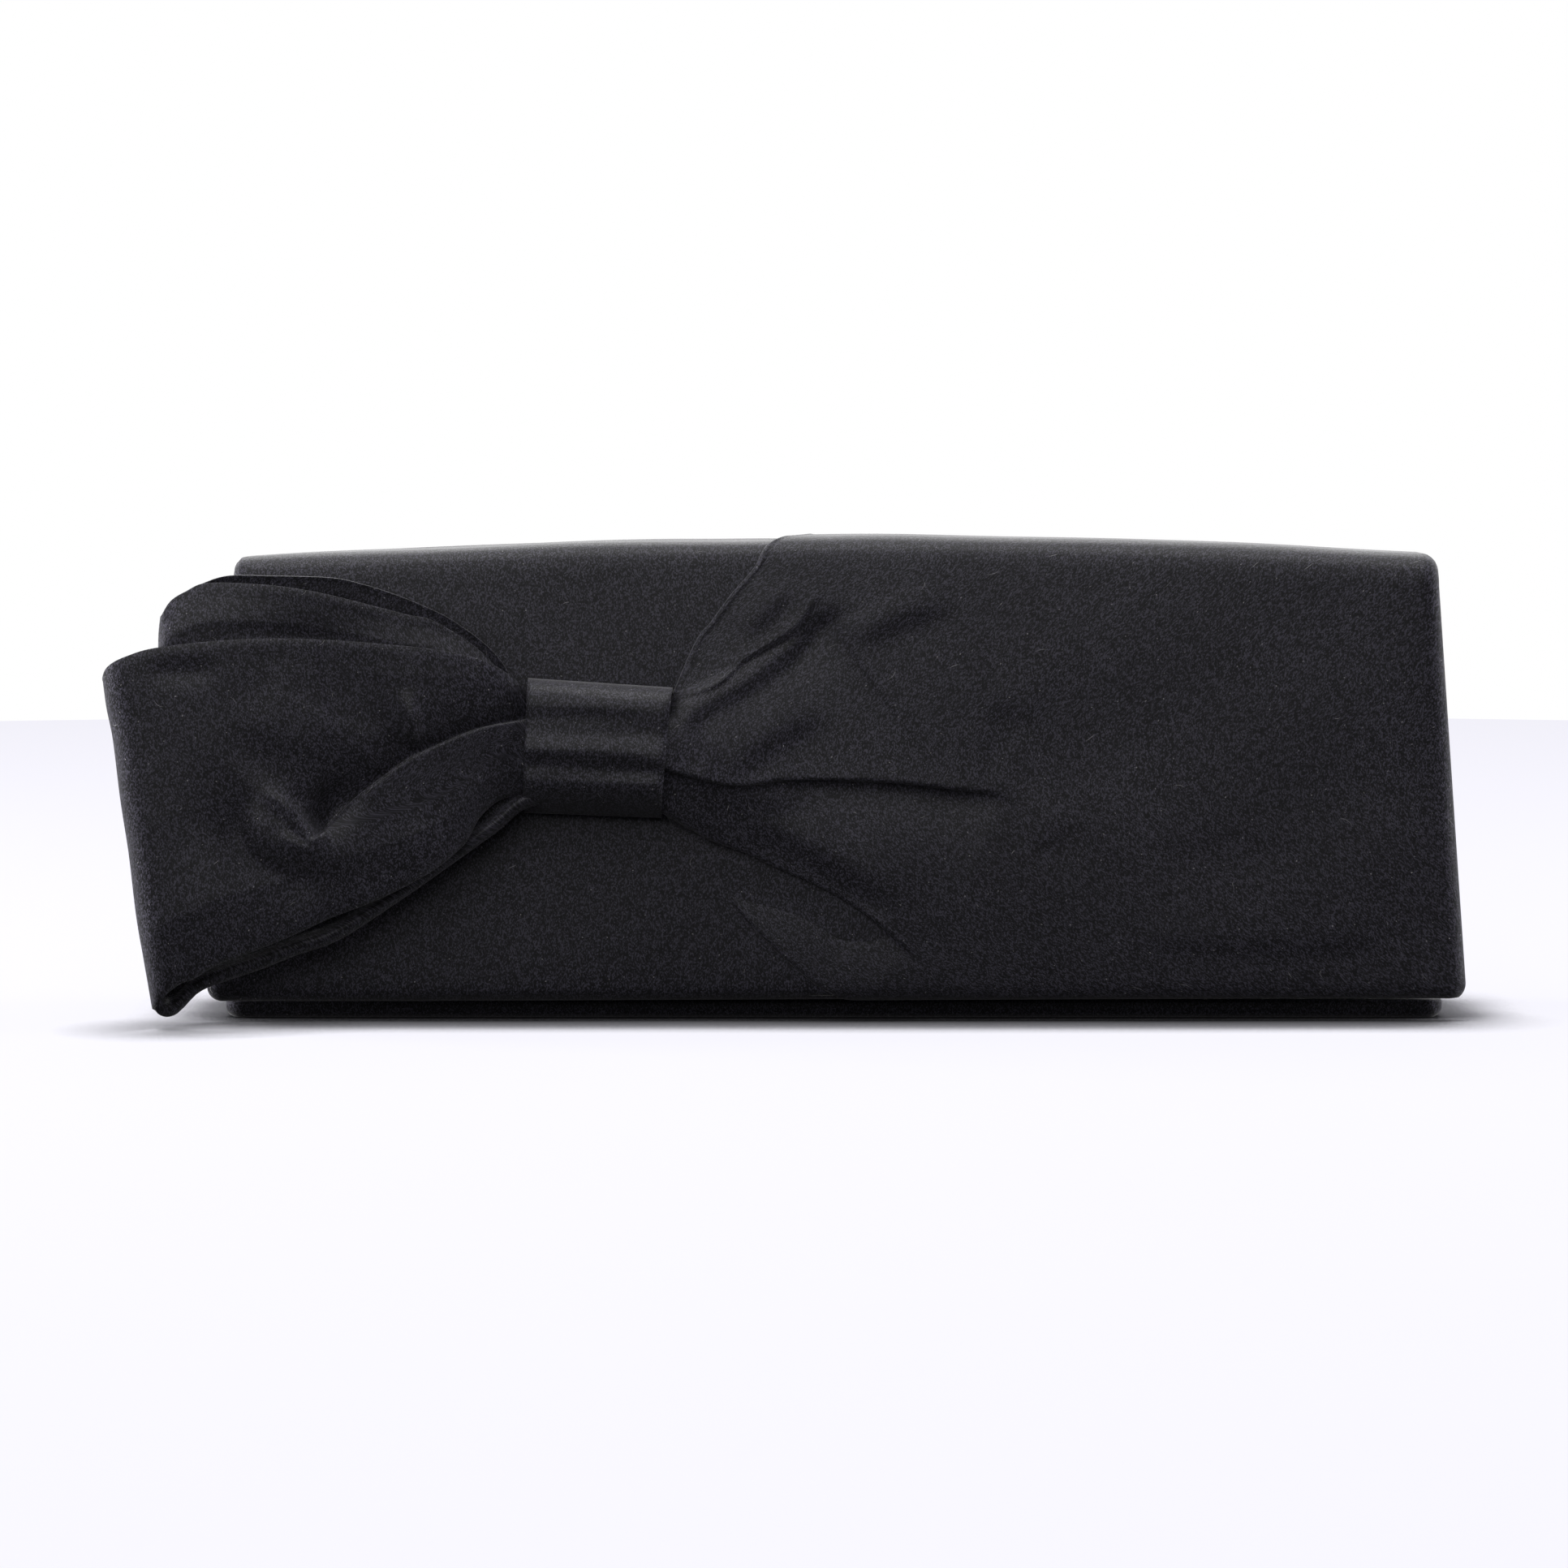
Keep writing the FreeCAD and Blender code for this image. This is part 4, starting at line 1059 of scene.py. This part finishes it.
def loopPoints(loop):
    # from the knot along the front layer, round the end, and back behind it; rows run from the top edge down
    frontCount, turnCount, backCount = loop["columns"]
    v = np.linspace(0, 1, loop["rows"] + 1)[:, None]
    endLine = smoothPath(loop["end"], 900)
    order = np.argsort(endLine[:, 1])
    endH = loop["endRange"][0] + (loop["endRange"][1] - loop["endRange"][0]) * v
    endX = np.interp(endH, endLine[order, 1], endLine[order, 0])
    radius, centre, knotFront, knotBack = (
        np.interp(v, *loop[key]) for key in ("radius", "centre", "knotFront", "knotBack")
    )
    s = np.linspace(0, 1, frontCount + 1)[None, :]
    angle = np.linspace(0, math.pi, turnCount + 2)[None, 1:-1]
    back = np.linspace(1, 0, backCount + 1)[None, :]
    knotX, turnX = loop["knotX"], endX + radius
    front, rear = knotX + s * (turnX - knotX), knotX + back * (turnX - knotX)
    x = np.concatenate([front, turnX - radius * np.sin(angle), rear], axis=1)
    behind = np.concatenate([np.zeros_like(s), (1 - np.cos(angle)) / 2, np.ones_like(back)], axis=1)
    v, behind = v + np.zeros_like(x), behind + np.zeros_like(x)
    topH = edgeLine(loop["topFront"])(x) * (1 - behind) + edgeLine(loop["topBack"])(x) * behind
    lowH = edgeLine(loop["lowFront"])(x) * (1 - behind) + edgeLine(loop["lowBack"])(x) * behind
    h = topH * (1 - v) + lowH * v
    front = knotFront + (centre + radius - knotFront) * np.interp(s, *loop["gain"])
    rear = knotBack + (centre - radius - knotBack) * smooth(back)
    d = np.concatenate([front, centre + radius * np.cos(angle), rear], axis=1)
    # 1 on the front layer and -1 on the back layer
    outward = 1 - 2 * behind
    strength = np.clip(outward, 0, 1)
    # the edges of each layer round over
    fromTop, fromLow = v * (topH - lowH), (1 - v) * (topH - lowH)
    d = d - outward * (loop["edgeRoll"] * (0.4 * np.exp(-fromTop / 0.8) + np.exp(-fromLow / 1.1)))
    # the top leans forward beside the knot
    d = d + strength * loop["topLean"] * np.exp(-fromTop / 7) * smooth((x + 150) / 40)
    # a rolled hem along the lower edge of the back layer
    roll = loop["hemRoll"] * smooth((behind - 0.3) / 0.7)
    d = d + roll * (np.exp(-((fromLow - 1.5) / 1.3) ** 2) - 0.3 * np.exp(-fromLow / 0.5))
    # folds on the front layer
    for fold in loop["creases"]:
        x1, h1, d1 = crease(x, h, d, fold)
        x, h, d = x + strength * (x1 - x), h + strength * (h1 - h), d + strength * (d1 - d)
    for path, height, width, fade in loop["steps"]:
        d = d + strength * step(x, h, path, height, width, fade)
    for wave in loop["waves"]:
        d = d + strength * swell(x, h, wave)
    for centreAt, reachAt, height, tilt in loop["mounds"]:
        d = d + strength * mound(x, h, centreAt, reachAt, height, tilt)
    d = d + ripple(x, h, 0.22, 34, loop["seed"]) * np.abs(outward)
    return flapPoint(x, h, d)


rearLoop = {
    "columns": (120, 16, 70), "rows": 96, "knotX": -62.0,
    "topFront": [
        (-60, 58), (-66, 63.5), (-71.5, 70.2), (-76.6, 74.8), (-84.4, 79.4), (-89.7, 80.6), (-99.4, 83.1),
        (-108.6, 85.3), (-119, 86.8), (-131.4, 87.3), (-136, 85.6), (-139.4, 83.5), (-141.6, 80),
    ],
    "topBack": [
        (-60, 58.5), (-66.1, 65), (-71.5, 72.9), (-79.9, 79.4), (-86.4, 82.7), (-93, 85.3), (-99.4, 87.3),
        (-105.9, 88.6), (-119, 89), (-127.5, 89), (-133, 87.3), (-137, 85.2), (-141.6, 80.6),
    ],
    "lowFront": [(-60, 50), (-66, 49), (-80, 44.5), (-100, 39.5), (-120, 37), (-142.5, 36)],
    "lowBack": [(-60, 49), (-66, 48), (-80, 43.5), (-100, 38.5), (-120, 36), (-142.5, 35.5)],
    "end": [(-141.6, 80.6), (-142.0, 75.5), (-141.9, 65), (-141.4, 50), (-141.0, 35)],
    "endRange": (80.2, 36), "radius": ([0, 0.06, 0.16, 0.5, 1], [1.0, 1.5, 2.9, 3.2, 2.8]),
    "centre": ([0, 0.12, 0.5, 1], [3.9, 4.1, 4.1, 4.0]), "knotFront": ([0, 0.5, 1], [4.8, 6.0, 6.0]),
    "knotBack": ([0, 0.5, 1], [2.6, 1.8, 1.8]), "gain": ([0, 0.1, 0.35, 0.7, 1], [0, 0.25, 0.6, 0.9, 1]),
    "edgeRoll": 0.7, "topLean": 1.6, "creases": [], "steps": [],
    "waves": [
        {"path": [(-137, 84), (-137.6, 78), (-138, 70)], "height": 0.5, "width": 2.4, "fade": (0.2, 0.4)},
        {"path": [(-68, 67), (-78, 75), (-90, 80)], "height": -0.5, "width": 2.2, "fade": (0.3, 0.4)},
    ],
    "mounds": [((-110, 75.5), (15, 5.5), -1.7, -6), ((-128, 80), (7, 6), 0.4, 0)], "seed": 41,
    "hemRoll": 0.0, "thick": 0.4, "replaces": "bow_rear_loop", "flat": (0.172, 0.05), "over": "flapSatin",
}
frontLoop = {
    "columns": (168, 24, 58), "rows": 150, "knotX": -61.8,
    "topFront": [
        (-60, 61.5), (-64.4, 64.3), (-67, 67), (-72.3, 70.2), (-80, 72.2), (-89.1, 73.3), (-105.9, 74.5),
        (-123.2, 74.5), (-140.1, 72.8), (-147, 70.9), (-151.1, 69), (-152.5, 66.5),
    ],
    "topBack": [
        (-60, 60), (-64.4, 62), (-72.3, 68), (-89.1, 71.6), (-105.9, 73), (-123.2, 73), (-140.1, 71.4),
        (-151.1, 68), (-152.5, 66.3),
    ],
    "lowFront": [
        (-60, 43.2), (-65.7, 42.6), (-70.1, 41.3), (-73.8, 38), (-75.9, 34.3), (-77.4, 31.9), (-82.3, 27.6),
        (-88.1, 24), (-95.9, 20.2), (-104.9, 16.7), (-112.7, 13.1), (-120.5, 9.9), (-127.5, 7.3),
        (-130.7, 5.5), (-133, 4), (-135.6, 3.1), (-137.9, 1.5), (-139.9, -0.1), (-141.9, -1.9),
    ],
    "lowBack": [
        (-60, 41.5), (-65.7, 39.7), (-70.3, 35.7), (-75.8, 31.7), (-79.4, 29.1), (-90, 21.6),
        (-103.3, 12.9), (-112.5, 9.5), (-119.8, 6.6), (-124.2, 5.1), (-128.6, 3.6), (-131.5, 2.5),
        (-133.8, 1), (-135.6, -1), (-137.4, -2.7), (-139.3, -3.5), (-140.9, -3.2), (-141.9, -2.3),
    ],
    "end": [
        (-152.5, 67.6), (-151.6, 60), (-150.2, 52.5), (-148.6, 40), (-146.8, 28.8), (-145.3, 17),
        (-143.8, 8.5), (-141.9, -2),
    ],
    "endRange": (67.4, -2.0), "radius": ([0, 0.1, 0.5, 0.8, 1], [6.2, 6.3, 6.4, 5.8, 4.6]),
    "centre": ([0, 0.1, 0.5, 0.8, 1], [14.2, 14.3, 14.3, 14.3, 13.2]),
    "knotFront": ([0, 0.12, 0.4, 0.8, 1], [7.6, 9.0, 9.9, 9.9, 8.8]),
    "knotBack": ([0, 0.5, 1], [7.2, 6.9, 6.8]),
    "gain": ([0, 0.05, 0.14, 0.3, 0.6, 0.85, 1], [0, 0.06, 0.33, 0.56, 0.8, 0.96, 1]), "edgeRoll": 1.0,
    "topLean": 1.5, "hemRoll": 1.9,
    "creases": [
        {
            "path": [
                (-61, 59.3), (-66.1, 58.1), (-71.5, 57), (-76.6, 55.5), (-83, 52.7), (-88.8, 49.9),
                (-94.6, 45.6), (-99.7, 41.8), (-103.5, 37.9), (-106.8, 34.5), (-109.2, 32.4),
            ],
            "lift": 0.9, "dip": 3.5, "above": 7, "below": 5.5, "width": 0.34, "overlap": 0.4,
            "fade": (0.02, 0.1),
        },
        {
            "path": [
                (-118.5, 43.5), (-121.2, 39.5), (-121.8, 35.5), (-120, 31.5), (-116, 28.8), (-111, 27.4),
                (-106, 27.2), (-101, 29),
            ],
            "lift": 0.9, "dip": 3.2, "above": 5, "below": 9, "width": 2.2, "fade": (0.3, 0.35),
        },
    ],
    "steps": [
        ([(-127, 58), (-120, 54), (-112, 51), (-104, 50.5), (-97, 53)], 2.6, 5.5, (0.35, 0.35)),
        ([(-91, 52.5), (-86, 55), (-81, 57.5), (-76.5, 59.8), (-72, 61.5)], 1.4, 1.8, (0.25, 0.3)),
        ([(-99, 46), (-96, 49.5), (-93.4, 53), (-92, 58)], 1.0, 1.8, (0.3, 0.4)),
    ],
    "waves": [
        {
            "path": [
                (-104.5, 34.2), (-107.4, 33), (-109.8, 35), (-112.2, 38.6), (-115.4, 41.4), (-120, 43),
            ],
            "height": 1.8, "width": 1.7, "fade": (0.2, 0.5),
        },
        {
            "path": [(-115.2, 35.2), (-112.2, 32.4), (-108, 30.6), (-103.5, 31.4)], "height": 0.9,
            "width": 1.3, "fade": (0.35, 0.4),
        },
        {"path": [(-89.6, 65), (-88, 59.5), (-88, 52)], "height": 1.3, "width": 1.6, "fade": (0.5, 0.3)},
        {
            "path": [(-144, 67.1), (-135, 67.6), (-126, 67.8)], "height": -0.5, "width": 2.6,
            "fade": (0.35, 0.4),
        },
        {"path": [(-76, 30.5), (-84, 31), (-93, 27)], "height": 0.5, "width": 4.0, "fade": (0.4, 0.4)},
    ],
    "mounds": [((-104.5, 41), (4.4, 7), -3.2, -30), ((-128, 22), (12, 16), 0.8, 0)], "seed": 47,
    "thick": 0.6, "replaces": "bow_front_loop", "flat": (0.19, 0.074), "over": "rearLoop",
}
for name, loop in (("rearLoop", rearLoop), ("frontLoop", frontLoop)):
    piece = sewn(name, loopPoints(loop), loop["thick"], bowLook, roundEdge=True)
    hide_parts(loop["replaces"])
    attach(piece, "flap")
print("loops ready")


# ---- knot ----

knot = {
    # lower left and right, upper left and right
    "corners": ((-65.15, 39.1), (-36.4, 38.0), (-64.2, 67.2), (-33.9, 65.2)),
    # share of the height and depth, round the band from its underside
    "profile": [
        (0.1, 0.9), (0.03, 1.5), (0, 3.0), (0.012, 4.6), (0.035, 6.2), (0.07, 8.1), (0.11, 9.8),
        (0.15, 11.1), (0.19, 11.9), (0.235, 12.25), (0.285, 12.2), (0.33, 12.1), (0.365, 12.25),
        (0.4, 12.85), (0.435, 13.35), (0.475, 13.4), (0.52, 13.05), (0.57, 12.55), (0.62, 12.3),
        (0.68, 12.25), (0.74, 12.35), (0.8, 12.35), (0.86, 12.0), (0.91, 11.2), (0.95, 10.1), (0.985, 8.4),
        (1, 6.6), (1, 4.6), (0.985, 2.6), (0.93, 0.9), (0.5, 0.8),
    ],
    "columns": 56, "around": 180, "thick": 0.9, "size": 29, "samples": 44,
}


def knotBand():
    ring, size, samples = knot["profile"], knot["size"], knot["samples"]
    closed = smoothPath(ring[-2:] + ring + ring[:2], samples * (len(ring) + 3) + 1)
    closed = closed[samples * 2:samples * (len(ring) + 2) + 1]
    length = lengthAlong(closed * (size, 1))
    place = np.linspace(0, length[-1], knot["around"] + 1)
    q, d = np.interp(place, length, closed[:, 0]), np.interp(place, length, closed[:, 1])
    q[-1], d[-1] = q[0], d[0]
    u = np.linspace(0, 1, knot["columns"] + 1)[None, :]
    q, d = q[:, None] + 0 * u, d[:, None] + 0 * u
    lowLeft, lowRight, highLeft, highRight = (np.array(c) for c in knot["corners"])
    x, h = (
        (lowLeft[k] * (1 - u) + lowRight[k] * u) * (1 - q) + (highLeft[k] * (1 - u) + highRight[k] * u) * q
        for k in (0, 1)
    )
    facing = smooth((d - 8) / 3)
    # soft creases along the band, and folded edges at its sides
    wave = 0.05 * np.sin(q * 23 + 2.2 * u) + 0.04 * np.sin(q * 41 - 3 * u + 1)
    folded = 0.45 * (np.exp(-u * size / 0.7) + np.exp(-(1 - u) * size / 0.7))
    d = d + facing * (wave * (1 - 0.4 * np.cos(u * 2 * math.pi)) - folded)
    d = d + facing * 0.35 * np.exp(-((q - 0.405) / 0.03) ** 2) * smooth((u - 0.75) / 0.25)
    points = flapPoint(x, h, d)
    points[-1] = points[0]
    piece = sewn("knotBand", points, knot["thick"], bowLook, closed=True, roundEdge=True)
    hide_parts("bow_knot")
    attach(piece, "flap")


core = {
    "left": -64.4,
    "long": 28.6,
    "up": 52.2,
    "fall": 0.9,
    "out": 6.1,
    "halfUp": 11.2,
    "halfOut": 4.3,
    "blunt": 0.8,
}


def gatherCore():
    # the gathered cloth inside the band
    v, u = np.meshgrid(np.linspace(0, 2 * math.pi, 97), np.linspace(0, 1, 41), indexing="ij")
    closing = np.clip(np.minimum(u, 1 - u) / 0.08, 0, 1) ** 0.5
    swollen = closing * (1 + 0.05 * np.sin(9 * v + 3 * u) * closing)
    x = core["left"] + core["long"] * u
    high, deep = (np.sign(w) * np.abs(w) ** core["blunt"] for w in (np.cos(v), np.sin(v)))
    h = core["up"] - core["fall"] * u + swollen * core["halfUp"] * high
    d = core["out"] + swollen * core["halfOut"] * deep
    points = flapPoint(x, h, d)
    points[-1] = points[0]
    piece = cloth("gatherCore", points, flip=True, closed=True)
    dress(piece, bowLook)
    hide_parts("bow_core")
    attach(piece, "flap")


knotBand()
gatherCore()
print("knot ready")


# ---- camera, light and floor ----

view = {"distance": 1200.0, "elevation": 4.0, "width": 330.4, "aim": (-10.6, -22.0, 49.85), "sensor": 36}


def setCamera():
    aim = Vector(view["aim"]) * mm
    tilt = math.radians(view["elevation"])
    data = bpy.data.cameras.new("camera")
    data.sensor_width = view["sensor"]
    data.lens = view["sensor"] * view["distance"] / view["width"]
    camera = bpy.data.objects.new("camera", data)
    camera.location = aim + Vector((0, -math.cos(tilt), math.sin(tilt))) * view["distance"] * mm
    camera.rotation_euler = (math.radians(90) - tilt, 0, 0)
    bpy.context.scene.collection.objects.link(camera)
    bpy.context.scene.camera = camera


lights = {
    "key": {"at": (-0.35, -1.05, 0.92), "size": (1.6, 1.3), "power": 14.0},
    "overhead": {"at": (0.0, -0.05, 1.05), "size": (0.8, 0.5), "power": 6.0},
    "left": {"at": (-1.05, 0.10, 0.27), "size": (0.5, 0.6), "power": 34.0, "mirrored": False},
    "right": {"at": (1.05, 0.10, 0.27), "size": (0.5, 0.6), "power": 22.0, "mirrored": False},
    "rear": {"at": (0.0, 0.80, 0.80), "size": (1.0, 0.4), "power": 3.0},
}


def setLights():
    for name, light in lights.items():
        data = bpy.data.lights.new(name, "AREA")
        data.shape = "RECTANGLE"
        data.size, data.size_y = light["size"]
        data.energy = light["power"]
        lamp = bpy.data.objects.new(name, data)
        lamp.location = light["at"]
        lamp.visible_glossy = light.get("mirrored", True)
        aim = Vector((0, 0, 0.05)) - lamp.location
        lamp.rotation_euler = aim.to_track_quat("-Z", "Y").to_euler()
        bpy.context.scene.collection.objects.link(lamp)


def backdropStrength(tree, plain, white, reflected):
    # camera and transmission rays see the white backdrop, and glossy rays see as much of it as is reflected
    path = addNode(tree, "ShaderNodeLightPath")
    seen = mathNode(tree, "MAXIMUM", path.outputs["Is Camera Ray"], path.outputs["Is Transmission Ray"])
    glossy = times(tree, path.outputs["Is Glossy Ray"], minus(tree, reflected, plain))
    return plus(tree, mapped(tree, seen, 0, 1, plain, white), glossy)


def setWorld():
    world = bpy.data.worlds.new("studio")
    tree = emptyTree(world)
    # the white backdrop stands behind; the room in front of it is darker
    around = addNode(tree, "ShaderNodeTexCoord").outputs["Generated"]
    direction = addNode(tree, "ShaderNodeSeparateXYZ", {0: around})
    strength = backdropStrength(tree, 0.06, 1.0, mapped(tree, direction.outputs[1], -0.15, 0.45, 0.12, 1.0))
    light = addNode(tree, "ShaderNodeBackground", {"Color": (1, 1, 1, 1), "Strength": strength})
    addNode(tree, "ShaderNodeOutputWorld", {"Surface": light.outputs[0]})
    bpy.context.scene.world = world


def makeFloor():
    bm = bmesh.new()
    bmesh.ops.create_circle(bm, cap_ends=True, segments=64, radius=1.1)
    mesh = bpy.data.meshes.new("floor")
    bm.to_mesh(mesh)
    bm.free()
    floor = bpy.data.objects.new("floor", mesh)
    bpy.context.scene.collection.objects.link(floor)
    material, tree = newMaterial("paleFloor")
    # painted contact shadow: the floor's colour and glow are darkened by occlusion where the bag stands on
    # it, for camera rays only
    occlusion = addNode(tree, "ShaderNodeAmbientOcclusion", {"Distance": 0.022}, samples=4)
    paintedShadow = minus(tree, 1.0, mathNode(tree, "POWER", occlusion.outputs["AO"], 5.5))
    seen = addNode(tree, "ShaderNodeLightPath").outputs["Is Camera Ray"]
    openness = minus(tree, 1.0, times(tree, paintedShadow, seen))
    # the painted shadow darkens the floor's colour here, and its glow below
    colour = mixColours(tree, openness, (0.02, 0.02, 0.022, 1), (0.07, 0.07, 0.072, 1))
    plain = addNode(tree, "ShaderNodeBsdfDiffuse", {"Color": colour})
    strength = times(tree, backdropStrength(tree, 0.0, 0.90, 0.06), openness)
    glow = addNode(tree, "ShaderNodeEmission", {"Color": (0.93, 0.92, 1.0, 1), "Strength": strength})
    both = addNode(tree, "ShaderNodeAddShader", {0: plain.outputs[0], 1: glow.outputs[0]})
    addNode(tree, "ShaderNodeOutputMaterial", {"Surface": both.outputs[0]})
    mesh.materials.append(material)


setCamera()
setLights()
setWorld()
makeFloor()
bpy.context.scene.view_settings.view_transform = "Standard"
print("camera and light ready")
